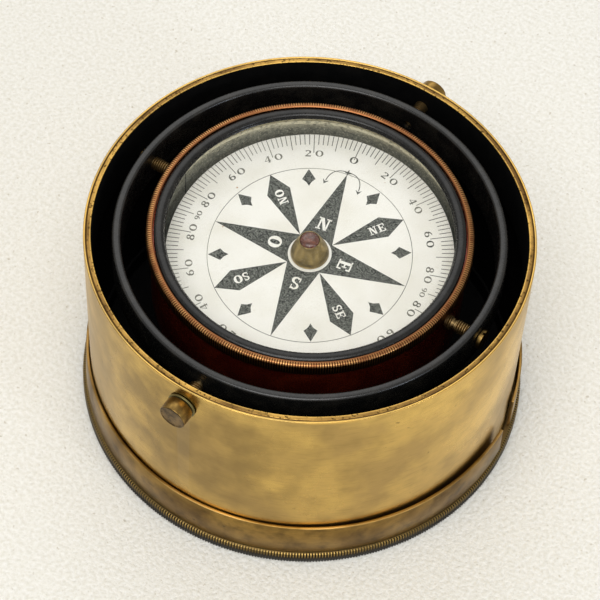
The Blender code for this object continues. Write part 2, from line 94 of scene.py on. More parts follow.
# %% Place the camera
CAMERA_PLACE = Vector((240.32, -420.50, 742.29)) * MM
BACKWARDS = Vector((0.28505, -0.49372, 0.82160)).normalized()
LEVEL_RIGHT = Vector((0.8660, 0.5, 0.0)).normalized()
CAMERA_ROLL = math.radians(3.34)

level_up = BACKWARDS.cross(LEVEL_RIGHT)
right = LEVEL_RIGHT * math.cos(CAMERA_ROLL) + level_up * math.sin(CAMERA_ROLL)
up = BACKWARDS.cross(right)
camera_data = bpy.data.cameras.new("camera")
camera_data.lens = 148.23
camera_data.sensor_width = 36.0
camera_data.clip_start = 0.05
camera = bpy.data.objects.new("camera", camera_data)
bpy.context.scene.collection.objects.link(camera)
turned = Matrix((right, up, BACKWARDS)).transposed().to_4x4()
camera.matrix_world = Matrix.Translation(CAMERA_PLACE) @ turned
bpy.context.scene.camera = camera
bpy.context.scene.view_settings.view_transform = "Standard"
print("camera", round(CAMERA_PLACE.length, 3), "m from the foot of the compass")

# %% [markdown]
# ## Finishes
# Colours are written as sRGB hex, as one would pick them from a swatch, and one function makes
# them linear for the shader. One more function adds a node with its settings and links, which
# keeps a whole finish readable on a few lines. Every finish reads Object coordinates, so its
# pattern stays on the piece when a joint moves it.

# %% Colour and node helpers


def linear(hex_colour):
    channels = [int(hex_colour[i : i + 2], 16) / 255 for i in (1, 3, 5)]
    flat = [c / 12.92 if c <= 0.04045 else ((c + 0.055) / 1.055) ** 2.4 for c in channels]
    return (*flat, 1.0)


def add_node(tree, kind, inputs, **settings):
    made = tree.nodes.new(kind)
    for name, value in settings.items():
        setattr(made, name, value)
    for socket, value in inputs.items():
        if isinstance(value, bpy.types.NodeSocket):
            tree.links.new(value, made.inputs[socket])
        else:
            made.inputs[socket].default_value = value
    return made


def new_finish(name, roughness, metallic=0.0):
    """A material with its shader and the Object coordinates that its patterns read."""
    made = bpy.data.materials.new(name)
    made.use_nodes = True
    tree = made.node_tree
    shader = tree.nodes["Principled BSDF"]
    shader.inputs["Roughness"].default_value = roughness
    shader.inputs["Metallic"].default_value = metallic
    place = add_node(tree, "ShaderNodeTexCoord", {}).outputs["Object"]
    return made, tree, shader, place


print("helpers ready")

# %% [markdown]
# ### Stains and grain
# Clouds, stains and pits are drawn in one way: a second colour takes over while a noise goes
# from one limit to another. A noise of scale 1 / size has blotches of about that size, so each
# pattern is given in millimetres. A painted mask could follow each stain, but a noise has no
# seams and needs no picture file. A Mix node has sockets of one name for each type of data, so
# the share and the two colours go by number. A noise also serves as the height of a grain.

# %% Patterns of noise


def patches(tree, place, size, detail, low, high, least=0.0, most=1.0):
    """A share that comes and goes in blotches of about a real size."""
    settings = {"Vector": place, "Scale": 1 / size, "Detail": detail}
    noise = add_node(tree, "ShaderNodeTexNoise", settings).outputs["Fac"]
    limits = {"Value": noise, "From Min": low, "From Max": high, "To Min": least, "To Max": most}
    return add_node(tree, "ShaderNodeMapRange", limits).outputs["Result"]


def mottle(tree, tone, colour, *pattern):
    """Lays blotches of a second colour over a tone."""
    ends = {0: patches(tree, *pattern), 6: tone, 7: linear(colour)}
    return add_node(tree, "ShaderNodeMix", ends, data_type="RGBA").outputs[2]


def emboss(tree, shader, place, size, detail, depth, strength):
    """Makes a surface uneven in grains of about a real size."""
    grains = patches(tree, place, size, detail, 0.0, 1.0)
    relief = {"Height": grains, "Distance": depth, "Strength": strength}
    normal = add_node(tree, "ShaderNodeBump", relief).outputs["Normal"]
    tree.links.new(normal, shader.inputs["Normal"])


print("patterns ready")

# %% [markdown]
# ### Sheet brass
# The drum is rolled sheet brass that was lacquered long ago and has been handled since. The
# lacquer has yellowed into soft cloudy patches with smoky stains, the sheet has faint rubbed
# lines round it, and there are small dark pits. The lines are a noise that is drawn out
# sideways. Real ones are finer, and are drawn coarse enough to show.

# %% A brass that is cloudy, stained and rubbed
LINE_HEIGHT = 0.7 * MM
DRAW_OUT = (0.12, 0.12, 1.0)


def sheet_brass(name, bright, dull, stain, roughness, cloud=34 * MM, pit=3.5 * MM, wear=0.35):
    made, tree, shader, place = new_finish(name, roughness, 1.0)
    tone = mottle(tree, linear(bright), dull, place, cloud, 6.0, 0.38, 0.62)
    tone = mottle(tree, tone, stain, place, cloud / 3, 6.0, 0.48, 0.74, 0.0, wear)
    tone = mottle(tree, tone, stain, place, pit, 3.0, 0.71, 0.79, 0.0, 0.8)
    stretch = add_node(tree, "ShaderNodeMapping", {"Vector": place, "Scale": DRAW_OUT})
    drawn = stretch.outputs["Vector"]
    tone = mottle(tree, tone, stain, drawn, LINE_HEIGHT, 2.0, 0.50, 0.80, 0.0, 0.25)
    tree.links.new(tone, shader.inputs["Base Color"])
    cloudy = patches(tree, place, cloud, 6.0, 0.35, 0.65, roughness - 0.05, roughness + 0.08)
    tree.links.new(cloudy, shader.inputs["Roughness"])
    emboss(tree, shader, drawn, LINE_HEIGHT, 2.0, 0.02 * MM, 0.25)
    return made, tree, shader, place


# Bars, heads and threads are the same brass, darker where oil and dirt stay on it. The cap
# keeps its pale lacquer, verdigris has dulled the collars, and the solder is dirty.
bar_brass = sheet_brass("turned_bar_brass", "#a88649", "#735b32", "#3c2d16", 0.30, 5 * MM, 2 * MM)[0]
head_brass = sheet_brass("slotted_head_brass", "#a3844a", "#6f5830", "#2f2514", 0.34, 3 * MM)[0]
thread_brass = sheet_brass("oiled_thread_brass", "#a88e62", "#806a44", "#2f2517", 0.40)[0]
cap_brass = sheet_brass("lacquered_cap_brass", "#c6ad76", "#96804f", "#6d5836", 0.38, 8 * MM)[0]
grimy_tones = ("#7d6540", "#4d3e28", "#221a10")
grimy_brass = sheet_brass("grimy_brass", *grimy_tones, 0.42, 4 * MM, 1.5 * MM, 0.7)[0]
green_brass = sheet_brass("verdigris_brass", "#8a7d50", "#6f7355", "#3c3f2a", 0.55, 7 * MM)[0]
old_solder = sheet_brass("dirty_solder", "#8a6b3d", "#64492a", "#35271a", 0.50, 6 * MM, 1 * MM)[0]
print("brass finishes ready")

# %% [markdown]
# ### Wear and a painted highlight
# Some wear has a place. Hands have rubbed the top edges of the drum and of the lid bright, the
# drum is duller below its near screw, and verdigris sits low on the wall of the lid. The band
# inside the rim is nicked all over, and has a painted highlight along its inner edge. Each of
# these is one more tint on a finished brass. A tint is drawn like a stain, but it can follow a
# height or a distance, so the wear and the highlight lie where they do on the real piece.

# %% Tints by height and distance


def tint(tree, tone, colour, value, low, high, most=1.0):
    """Lets a second colour take over from a tone while a value goes from low to high."""
    limits = {"Value": value, "From Min": low, "From Max": high, "To Max": most}
    share = add_node(tree, "ShaderNodeMapRange", limits).outputs["Result"]
    ends = {0: share, 6: tone, 7: linear(colour)}
    return add_node(tree, "ShaderNodeMix", ends, data_type="RGBA").outputs[2]


def rub(tree, shader, colour, value, low=0.0, high=1.0, most=1.0):
    """Tints the colour that a finish already has."""
    tone = shader.inputs["Base Color"].links[0].from_socket
    tree.links.new(tint(tree, tone, colour, value, low, high, most), shader.inputs["Base Color"])


def from_axis(tree, place):
    """How far each point lies from the axis of the drum."""
    sideways = {0: place, 1: (1, 1, 0)}
    flat = add_node(tree, "ShaderNodeVectorMath", sideways, operation="MULTIPLY").outputs[0]
    return add_node(tree, "ShaderNodeVectorMath", {0: flat}, operation="LENGTH").outputs["Value"]


def brighten_edge(tree, shader, place, top, depth, colour):
    """Rubs the last stretch below a top edge bright in patches, as hands do."""
    height = add_node(tree, "ShaderNodeSeparateXYZ", {0: place}).outputs["Z"]
    worn = patches(tree, place, 22 * MM, 3.0, 0.40, 0.60, 0.15, 1.0)
    rub(tree, shader, colour, height, top - depth, top - depth / 2, worn)


print("tints ready")

# %% Wear on the drum, the lid and the rim, and a painted highlight on the rim
DULL_PLACE = (-4 * MM, -CASE_RADIUS, PIVOT - 18 * MM)
DULL_FULL, DULL_END = 20 * MM, 60 * MM
drum_tones = ("#e3bd69", "#b6975a", "#7f693c")
drum_brass, tree, shader, place = sheet_brass("rolled_sheet_brass", *drum_tones, 0.27)
dull_ends = {0: place, 1: DULL_PLACE}
away = add_node(tree, "ShaderNodeVectorMath", dull_ends, operation="DISTANCE").outputs["Value"]
dull_patches = patches(tree, place, 11 * MM, 7.0, 0.38, 0.62, 0.34, 0.85)
rub(tree, shader, "#8b7345", away, DULL_END, DULL_FULL, dull_patches)
brighten_edge(tree, shader, place, RIM, 1.0 * MM, "#d6ae5e")

lid_tones = ("#9c7c40", "#73582b", "#382914")
lid_wear = {"cloud": 16 * MM, "wear": 0.6}
lid_brass, tree, shader, place = sheet_brass("tarnished_lid_brass", *lid_tones, 0.34, **lid_wear)
brighten_edge(tree, shader, place, SKIRT_TOP, 0.4 * MM, "#bf9a5c")
height = add_node(tree, "ShaderNodeSeparateXYZ", {0: place}).outputs["Z"]
crust = patches(tree, place, 6 * MM, 4.0, 0.35, 0.6, 0.2, 0.9)
crust_top, crust_full = SKIRT_BOTTOM + 0.9 * MM, SKIRT_BOTTOM + 0.2 * MM
rub(tree, shader, "#4f5a3a", height, crust_top, crust_full, crust)

rim_tones = ("#c99f52", "#7a5c35", "#45321b")
rim_wear = {"cloud": 24 * MM, "pit": 1.2 * MM, "wear": 0.7}
rim_brass, tree, shader, place = sheet_brass("worn_rim_brass_painted_highlight", *rim_tones, 0.36, **rim_wear)
# Painted highlight: a bright line along the inner edge of the band, where its rounded edge catches the
# light.
highlight_fade, highlight_full = BAND_INNER + 0.5 * MM, BAND_INNER + 0.25 * MM
rub(tree, shader, "#dfb55f", from_axis(tree, place), highlight_fade, highlight_full, 0.8)
nicks = patches(tree, place, 0.9 * MM, 3.0, 0.56, 0.66)
rub(tree, shader, "#33240f", nicks, most=0.85)
print("worn finishes ready")

# %% [markdown]
# ### Milled edges
# Dirt fills the grooves of a milled edge and leaves the crests bright. The teeth are evenly
# spaced, so a cosine of the angle round the axis tells crest from groove, and it stays in step
# with the mesh. The teeth are drawn about 1 mm apart on the lid and 0.9 mm on the bezel,
# because the real ones are too fine to show. Towards the bottom of the edge the colour fades to
# the groove's, which is painted shade under the rounding.

# %% Milled finishes


def milled_metal(name, crest, groove, plain, stain, teeth, toothed_from, dark, patch, roughness):
    """Two-toned teeth outside a radius, and painted shade towards the bottom in the groove's colour.
    """
    made, tree, shader, place = new_finish(name, roughness, 1.0)
    along = add_node(tree, "ShaderNodeSeparateXYZ", {0: place}).outputs
    sides = {0: along["Y"], 1: along["X"]}
    angle = add_node(tree, "ShaderNodeMath", sides, operation="ARCTAN2").outputs[0]
    phase = add_node(tree, "ShaderNodeMath", {0: angle, 1: teeth}, operation="MULTIPLY").outputs[0]
    wave = add_node(tree, "ShaderNodeMath", {0: phase}, operation="COSINE").outputs[0]
    tone = tint(tree, linear(groove), crest, wave, -0.3, 0.9)
    tone = mottle(tree, tone, stain, place, patch, 4.0, 0.42, 0.66, 0.0, 0.75)
    # Painted shade: lower down the edge the colour turns to the groove's, darkest at the bottom.
    painted_shade_full, painted_shade_fade = dark
    tone = tint(tree, tone, groove, along["Z"], painted_shade_fade, painted_shade_full)
    reach = from_axis(tree, place)
    tone = tint(tree, tone, plain, reach, toothed_from + 0.1 * MM, toothed_from)
    tree.links.new(tone, shader.inputs["Base Color"])
    return made


LID_TEETH, BEZEL_TEETH = 490, 400
lid_milled = milled_metal(
    "milled_lid_brass",
    crest="#a98d54",
    groove="#1c160b",
    plain="#7d6740",
    stain="#5f4f30",
    teeth=LID_TEETH,
    toothed_from=LID_RADIUS - 1.0 * MM,
    # painted shade on the lower part of the lid's milled edge
    dark=(LID_EDGE_TOP - 2.4 * MM, LID_EDGE_TOP - 0.8 * MM),
    patch=14 * MM,
    roughness=0.36,
)
bezel_milled = milled_metal(
    "milled_copper",
    crest="#cd9c62",
    groove="#522d19",
    plain="#8a5a38",
    stain="#714128",
    teeth=BEZEL_TEETH,
    toothed_from=BOWL_RADIUS - 0.3 * MM,
    # painted shade on the lower part of the bezel
    dark=(BEZEL_BOTTOM, BEZEL_TOP - 1.5 * MM),
    patch=4 * MM,
    roughness=0.33,
)
print("milled finishes ready")

# %% [markdown]
# ### Paint and lacquer
# The inside of the drum, the gimbal ring and the ring over the glass are black stoving paint,
# worn grey and dusty where it stands proud. The bowl is copper under a dark red lacquer, so it
# is nearly black until it glints. One function serves them all: a colour that wears towards a
# second one, with a fine grain. It also gives the putty under the glass its chalky look, and the
# hidden steel and lead their dull grey. The inside of the bowl has a flat olive paint, speckled
# with dust, and painted light makes it palest near the glass and darker towards the card.

# %% Paint finishes
GRAIN = 0.6 * MM


def worn_finish(name, colour, worn, roughness, size=5 * MM, coating=0.0, specular=0.5, metallic=0.0):
    made, tree, shader, place = new_finish(name, roughness, metallic)
    tone = mottle(tree, linear(colour), worn, place, size, 5.0, 0.42, 0.72)
    tree.links.new(tone, shader.inputs["Base Color"])
    grainy = patches(tree, place, GRAIN, 3.0, 0.3, 0.7, roughness - 0.06, roughness + 0.12)
    tree.links.new(grainy, shader.inputs["Roughness"])
    emboss(tree, shader, place, GRAIN, 3.0, 0.02 * MM, 0.35)
    shader.inputs["Coat Weight"].default_value = coating
    shader.inputs["Specular IOR Level"].default_value = specular
    return made


case_black = worn_finish("flat_black_paint", "#030303", "#0a0908", 0.60, specular=0.15)
ring_black = worn_finish("stoved_black_paint", "#10100f", "#211f1b", 0.25)
retainer_black = worn_finish("satin_black_paint", "#0c0c0b", "#1e1c19", 0.24, specular=0.38)
lacquer_wear = {"size": 8 * MM, "coating": 0.5, "metallic": 0.8}
bowl_lacquer = worn_finish("red_lacquered_copper", "#782312", "#a03a1a", 0.28, **lacquer_wear)
putty = worn_finish("dried_putty", "#b3a988", "#8d8467", 0.75, 2 * MM)
steel = worn_finish("blued_steel", "#3a3d44", "#4a4d52", 0.35, 3 * MM, metallic=1.0)
lead = worn_finish("cast_lead", "#6d6f74", "#83858a", 0.6, 6 * MM, metallic=0.8)

bowl_paint, tree, shader, place = new_finish("dusty_olive_paint_painted_light", 0.62)
height = add_node(tree, "ShaderNodeSeparateXYZ", {0: place}).outputs["Z"]
# Painted light: the wall is paler towards the glass, where light falls in from above, and darker down
# towards the card.
tone = tint(tree, linear("#8c8a79"), "#dad2b4", height, PIVOT - 1.5 * MM, PIVOT + 2.3 * MM)
tone = mottle(tree, tone, "#4e4d42", place, 1.6 * MM, 6.0, 0.50, 0.64, 0.0, 0.6)
tone = mottle(tree, tone, "#e2dbbe", place, 0.7 * MM, 4.0, 0.52, 0.70, 0.0, 0.7)
tree.links.new(tone, shader.inputs["Base Color"])
print("paint finishes ready")

# %% [markdown]
# ### Paper, ink, stone and glass
# The card is cream paper, a little yellow in places, with fibres and a few rust spots. The ink
# is letterpress, so the solid areas are speckled where the paper took less of it, and the ink
# of the scale has faded. The jewel is brown agate with a polish. The pane is plain glass with
# faint smears. Its alpha makes it nearly clear, because a thin flat pane hardly bends what lies
# behind it, and light reaches the card through it without noise.

# %% Card, jewel and glass finishes


def print_finish(name, roughness, colour, second, *pattern):
    """A matt finish of two close tones, as paper and printing ink have."""
    made, tree, shader, place = new_finish(name, roughness)
    tone = mottle(tree, linear(colour), second, place, *pattern)
    tree.links.new(tone, shader.inputs["Base Color"])
    shader.inputs["Specular IOR Level"].default_value = 0.2
    return made, tree, shader, place


paper_clouds = (14 * MM, 6.0, 0.40, 0.75)
dial_paper, tree, shader, place = print_finish("dial_paper", 0.65, "#f6f4eb", "#ebe8db", *paper_clouds)
rub(tree, shader, "#cfc9b2", patches(tree, place, 0.8 * MM, 2.0, 0.55, 0.80), most=0.25)
rub(tree, shader, "#a9793f", patches(tree, place, 2.6 * MM, 1.0, 0.79, 0.83), most=0.8)
ink = print_finish("letterpress_ink", 0.7, "#242523", "#7e8078", 0.5 * MM, 3.0, 0.38, 0.66)[0]
fading = (18 * MM, 3.0, 0.35, 0.70)
scale_ink = print_finish("faded_scale_ink", 0.6, "#4d4d46", "#918f82", *fading)[0]

agate, tree, shader, place = new_finish("brown_agate", 0.22)
tone = mottle(tree, linear("#4c2116"), "#75402c", place, 1.5 * MM, 4.0, 0.4, 0.65)
tree.links.new(tone, shader.inputs["Base Color"])
shader.inputs["IOR"].default_value = 1.54
shader.inputs["Coat Weight"].default_value = 0.3

plate_glass, tree, shader, place = new_finish("plate_glass", 0.03)
shader.inputs["Base Color"].default_value = linear("#8c938c")
shader.inputs["IOR"].default_value = 1.52
shader.inputs["Alpha"].default_value = 0.03
smears = patches(tree, place, 10 * MM, 3.0, 0.3, 0.8, 0.02, 0.10)
tree.links.new(smears, shader.inputs["Roughness"])
print("card, jewel and glass finishes ready")

# %% [markdown]
# ## Turning on the lathe
# A turned piece is a circle that is extruded and resized from one corner of its outline to
# the next, as one would by hand. An outline that ends where it began closes into a ring, and
# one that starts and ends on the axis closes into a solid. Spinning a drawn outline would do
# as well, but this way each piece gets an even grid of faces, which later takes a milled edge.

# %% A lathe made of circles
HAIR = 0.001 * MM
SMOOTH_ANGLE = math.radians(35)


def deselect_all():
    if bpy.context.mode != "OBJECT":
        bpy.ops.object.mode_set(mode="OBJECT")
    bpy.ops.object.select_all(action="DESELECT")


def arc(radius, height, size, start, end, steps=5):
    """Corners of a rounded edge, angles in degrees, 0 outwards and 90 up."""
    turns = [math.radians(start + (end - start) * i / steps) for i in range(steps + 1)]
    return [(radius + size * math.cos(t), height + size * math.sin(t)) for t in turns]


def close_seams(reach):
    """Merges points closer than the reach, turns all faces outwards and leaves edit mode."""
    bpy.ops.mesh.select_all(action="SELECT")
    bpy.ops.mesh.remove_doubles(threshold=reach)
    bpy.ops.mesh.normals_make_consistent(inside=False)
    bpy.ops.object.mode_set(mode="OBJECT")


def turn(name, outline, segments=192):
    """A piece turned about Z. The outline's corners are (radius, height) in metres."""
    deselect_all()
    corners = [(max(radius, HAIR), height) for radius, height in outline]
    first_radius, first_height = corners[0]
    first_place = (0, 0, first_height)
    bpy.ops.mesh.primitive_circle_add(vertices=segments, radius=first_radius, location=first_place)
    piece = bpy.context.object
    piece.name = piece.data.name = name
    bpy.ops.object.transform_apply(location=True, rotation=True, scale=True)
    bpy.ops.object.mode_set(mode="EDIT")
    bpy.ops.mesh.select_all(action="SELECT")
    for (radius, height), (next_radius, next_height) in zip(corners, corners[1:]):
        rise = (0, 0, next_height - height)
        bpy.ops.mesh.extrude_edges_move(TRANSFORM_OT_translate={"value": rise})
        share = next_radius / radius
        bpy.ops.transform.resize(value=(share, share, 1), center_override=(0, 0, next_height))
    close_seams(4 * HAIR)
    bpy.ops.object.shade_smooth_by_angle(angle=SMOOTH_ANGLE)
    return piece


print("lathe ready")

# %% [markdown]
# ## Lid
# The lid lies upside down under the drum. Its plate has a thick edge that was milled all round,
# so that fingers can grip it. A cut for each of hundreds of teeth would be slow, so the plate is
# turned with two lines of points for each tooth, and every other line is pressed in. The
# finished piece is coated and seated: it rides on its body, and stands for its CAD node.

# %% Milling, coating and seating


def mill(piece, radius, depth, segments, low, high):
    """Presses in every other line of points outside the given radius, which leaves teeth."""
    for vert in piece.data.vertices:
        reach = math.hypot(vert.co.x, vert.co.y)
        step = round(math.atan2(vert.co.y, vert.co.x) / math.tau * segments)
        if reach > radius - depth / 2 and low < vert.co.z < high and step % 2:
            share = (reach - depth) / reach
            vert.co.x *= share
            vert.co.y *= share


def coat(piece, *finishes):
    for finish in finishes:
        piece.data.materials.append(finish)


def seat(piece, body, slot, *nodes):
    """Lets a piece ride on its body and hides the CAD nodes that it stands for. The slot is not used.
    """
    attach(piece, body)
    if nodes:
        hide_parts(*nodes)


print("lid tools ready")

# %% Lid plate
LID_PLATE_TOP = LID_BOTTOM + 2.0 * MM
LID_EDGE_INNER = CASE_RADIUS + 0.6 * MM
LID_TEETH_FROM = LID_RADIUS - 0.6 * MM
LID_TEETH_DEPTH = 0.45 * MM
EDGE_ROUND = 0.7 * MM
lid_plate = turn(
    "lid_plate_milled",
    [
        (0.0, LID_BOTTOM),
        *arc(LID_RADIUS - EDGE_ROUND, LID_BOTTOM + EDGE_ROUND, EDGE_ROUND, -90, 0, 2),
        *arc(LID_RADIUS - EDGE_ROUND, LID_EDGE_TOP - EDGE_ROUND, EDGE_ROUND, 0, 90, 2),
        (LID_EDGE_INNER, LID_EDGE_TOP),
        (LID_EDGE_INNER, LID_PLATE_TOP),
        (0.0, LID_PLATE_TOP),
    ],
    2 * LID_TEETH,
)
mill(lid_plate, LID_TEETH_FROM, LID_TEETH_DEPTH, 2 * LID_TEETH, LID_BOTTOM, LID_EDGE_TOP + MM)
coat(lid_plate, lid_milled, lid_brass)
for face in lid_plate.data.polygons:
    face.material_index = int(face.normal.z < -0.9)
seat(lid_plate, "lid", "aged_brass", "lid_plate")
print("lid edge with", LID_TEETH, "teeth")

# %% [markdown]
# The wall of the lid was soldered on in two halves, with a notch on either side that lets the
# heads of the screws pass. Each half is a flat strip bent round, so it starts as a small
# upright rectangle, which spin carries round the axis. A notched tube would look the same, but
# a strip can be bent on its own afterwards.

# %% Lid wall
SKIRT_INNER = CASE_RADIUS + 1.0 * MM
SKIRT_SHEET = 1.0 * MM
SKIRT_STEPS = 150
NOTCH_HALF_WIDTH = 6.0 * MM
HALF_NOTCH = math.asin(NOTCH_HALF_WIDTH / SKIRT_INNER)
LID_TURN = math.radians(9.5)


def bent_strip(name, inner, sheet, bottom, top, angle, middle, steps):
    """A flat strip bent round the axis, with the middle of its length at the given angle."""
    deselect_all()
    centre = (inner + sheet / 2, 0, (bottom + top) / 2)
    bpy.ops.mesh.primitive_plane_add(size=1, location=centre, rotation=(math.pi / 2, 0, 0))
    strip = bpy.context.object
    strip.name = strip.data.name = name
    strip.scale = (sheet, top - bottom, 1)
    bpy.ops.object.transform_apply(location=True, rotation=True, scale=True)
    bpy.ops.object.mode_set(mode="EDIT")
    bpy.ops.mesh.select_all(action="SELECT")
    bpy.ops.mesh.spin(steps=steps, angle=angle, center=(0, 0, 0), axis=(0, 0, 1))
    close_seams(HAIR)
    heart = sum((vert.co for vert in strip.data.vertices), Vector())
    strip.rotation_euler.z = middle - math.atan2(heart.y, heart.x)
    bpy.ops.object.transform_apply(location=True, rotation=True, scale=True)
    return strip


wall_sizes = (SKIRT_INNER, SKIRT_SHEET, SKIRT_BOTTOM, SKIRT_TOP, math.pi - 2 * HALF_NOTCH)
far_wall = bent_strip("lid_wall_far", *wall_sizes, LID_TURN + math.pi / 2, SKIRT_STEPS)
near_wall = bent_strip("lid_wall_near", *wall_sizes, LID_TURN - math.pi / 2, SKIRT_STEPS)
print("near wall", [round(v, 4) for v in near_wall.dimensions])
print("far wall", [round(v, 4) for v in far_wall.dimensions])

# %% [markdown]
# The solder has let go at one end of the near wall. There the strip has sprung a little
# outwards, and its foot has lifted off the edge. Further round, the top of the wall leans in
# against the drum, which leaves a thin dark line there. Each point is moved by its distance
# from the loose end, so the bend fades out along the strip.

# %% Spring the loose end of the near wall
LOOSE_END = LID_TURN - HALF_NOTCH
LOOSE_LENGTH = math.radians(34)
FOOT_LIFT = 2.6 * MM
SPRING_OUT = 0.7 * MM
LEAN_IN = 0.65 * MM
LEAN_FROM, LEAN_FULL = math.radians(35), math.radians(75)
for vert in near_wall.data.vertices:
    from_end = (LOOSE_END - math.atan2(vert.co.y, vert.co.x)) % math.tau
    ease = max(0.0, 1 - from_end / LOOSE_LENGTH) ** 2
    lean = min(max((from_end - LEAN_FROM) / (LEAN_FULL - LEAN_FROM), 0.0), 1.0)
    reach = math.hypot(vert.co.x, vert.co.y)
    low = (SKIRT_TOP - vert.co.z) / (SKIRT_TOP - SKIRT_BOTTOM)
    share = 1 + (SPRING_OUT * ease - LEAN_IN * lean * (1 - low)) / reach
    vert.co.x *= share
    vert.co.y *= share
    vert.co.z += FOOT_LIFT * ease * low
print("near wall lifted by up to", FOOT_LIFT / MM, "mm")

# %% [markdown]
# The edges of a cut strip are broken with a file, and each then has a thin line of light. A
# Bevel modifier that only takes sharp corners does this. The inside of the wall has the oily
# tarnish of the screws, and faces that look at the axis get it.

# %% Break the edges of the walls
BROKEN_EDGE = 0.2 * MM
WALL_BARE = 0.3 * MM


def pick(piece):
    deselect_all()
    piece.select_set(True)
    bpy.context.view_layer.objects.active = piece


def apply_modifier(piece, name, kind, **settings):
    pick(piece)
    added = piece.modifiers.new(name, kind)
    for setting, value in settings.items():
        setattr(added, setting, value)
    bpy.ops.object.modifier_apply(modifier=added.name)


def looks_in(face):
    return face.normal.x * face.center.x + face.normal.y * face.center.y < 0


def paint_inside(piece, outside, inside, below):
    """Gives the faces that look at the axis, lower than a height, the inside finish."""
    coat(piece, outside, inside)
    for face in piece.data.polygons:
        face.material_index = int(looks_in(face) and face.center.z < below)


for wall, node in ((far_wall, "lid_skirt_far"), (near_wall, "lid_skirt_near")):
    corners = {"limit_method": "ANGLE", "angle_limit": math.radians(50)}
    apply_modifier(wall, "broken_edges", "BEVEL", width=BROKEN_EDGE, segments=2, **corners)
    bpy.ops.object.shade_smooth_by_angle(angle=SMOOTH_ANGLE)
    paint_inside(wall, lid_brass, thread_brass, SKIRT_TOP - WALL_BARE)
    seat(wall, "lid", "aged_brass", node)
print("walls of", len(near_wall.data.polygons) + len(far_wall.data.polygons), "faces")

# %% [markdown]
# ## Drum
# The drum is a thin tube with a second band soldered inside its rim, so the rim shows two edges.
# Brass is bare outside and on the rim, and black paint covers the inside. Both tubes are turned
# and drilled for the screws. A hole is a cylinder that is laid across and that a Boolean takes
# away. Each face gets its finish by the way it looks, which keeps wall and paint one piece.

# %% Drilling
DRILL_LENGTH = 2.4 * CASE_RADIUS


def lay_along(piece, direction, height):
    """Turns a piece made about Z so that its +Z points along a horizontal direction."""
    piece.rotation_mode = "QUATERNION"
    piece.rotation_quaternion = Vector((0, 0, 1)).rotation_difference(Vector(direction))
    piece.location.z = height
    pick(piece)
    bpy.ops.object.transform_apply(location=True, rotation=True, scale=True)
    return piece


def carve(piece, tool):
    apply_modifier(piece, "cut", "BOOLEAN", operation="DIFFERENCE", object=tool)
    bpy.data.objects.remove(tool)
    bpy.ops.object.shade_smooth_by_angle(angle=SMOOTH_ANGLE)


def drill(piece, radius, direction):
    """Bores a hole right through a piece at the height of the pivots."""
    deselect_all()
    bpy.ops.mesh.primitive_cylinder_add(vertices=48, radius=radius, depth=DRILL_LENGTH)
    carve(piece, lay_along(bpy.context.object, direction, PIVOT))


print("drill", round(DRILL_LENGTH / MM), "mm long")

# %% Drum shell and rim band
BAND_BOTTOM = node_heights("case_rim_band")[0]
WALL = 0.75 * MM
RIM_ROUND = 0.22 * MM
RIM_BARE = 1.2 * MM
CASE_HOLE = 2.55 * MM
DRUM_SEGMENTS = 288


def tube(name, inner, outer, bottom):
    """A tube that ends at the rim of the drum, with both edges of its top rounded."""
    outline = [
        (inner, bottom),
        (outer, bottom),
        *arc(outer - RIM_ROUND, RIM - RIM_ROUND, RIM_ROUND, 0, 90, 3),
        *arc(inner + RIM_ROUND, RIM - RIM_ROUND, RIM_ROUND, 90, 180, 3),
        (inner, bottom),
    ]
    return turn(name, outline, DRUM_SEGMENTS)


shell = tube("drum_shell", CASE_RADIUS - WALL, CASE_RADIUS, CASE_BOTTOM)
band = tube("drum_rim_band", BAND_INNER, BAND_RADIUS, BAND_BOTTOM)
for piece, node, outside in ((shell, "case_shell", drum_brass), (band, "case_rim_band", rim_brass)):
    drill(piece, CASE_HOLE, (0, 1, 0))
    paint_inside(piece, outside, case_black, RIM - RIM_BARE)
    seat(piece, "case", "aged_brass", node)
print("drum of", len(shell.data.polygons), "faces")

# %% [markdown]
# A brown line of solder fills the gap between shell and band. It sags a little in the middle.
# It is a narrow turned ring that stays a hair clear of both walls, because two faces in one
# place would flicker.

# %% Solder in the rim
SOLDER_CLEAR = 0.01 * MM
SOLDER_SAG = 0.1 * MM
seam_inner, seam_outer = BAND_RADIUS + SOLDER_CLEAR, CASE_RADIUS - WALL - SOLDER_CLEAR
seam_bottom, seam_top = RIM - 2.0 * MM, RIM - 0.08 * MM
seam = turn(
    "rim_solder",
    [
        (seam_inner, seam_bottom),
        (seam_outer, seam_bottom),
        (seam_outer, seam_top),
        ((seam_inner + seam_outer) / 2, seam_top - SOLDER_SAG),
        (seam_inner, seam_top),
        (seam_inner, seam_bottom),
    ],
    DRUM_SEGMENTS,
)
coat(seam, old_solder)
seat(seam, "case", "aged_brass")
print("solder", round((seam_outer - seam_inner) / MM, 2), "mm wide")

# %% [markdown]
# ## Pivot screws
# All four pivot screws show a few turns of thread between the drum, the ring and the bowl. A
# thread is one V swept round and along, which the Screw modifier does. The V is a small plane
# that has lost the edge at the core. Each screw ends in a plain tip that is the real pivot.

# %% Thread and shank
THREAD_PITCH = 0.8 * MM
THREAD_MERGE = 0.01 * MM
THREAD_STEPS = 28
CREST_HALF, CORE_HALF = 0.1, 0.5
TIP_RADIUS, TIP_LENGTH = 1.5 * MM, 2.1 * MM
SCREW_SEGMENTS = 64


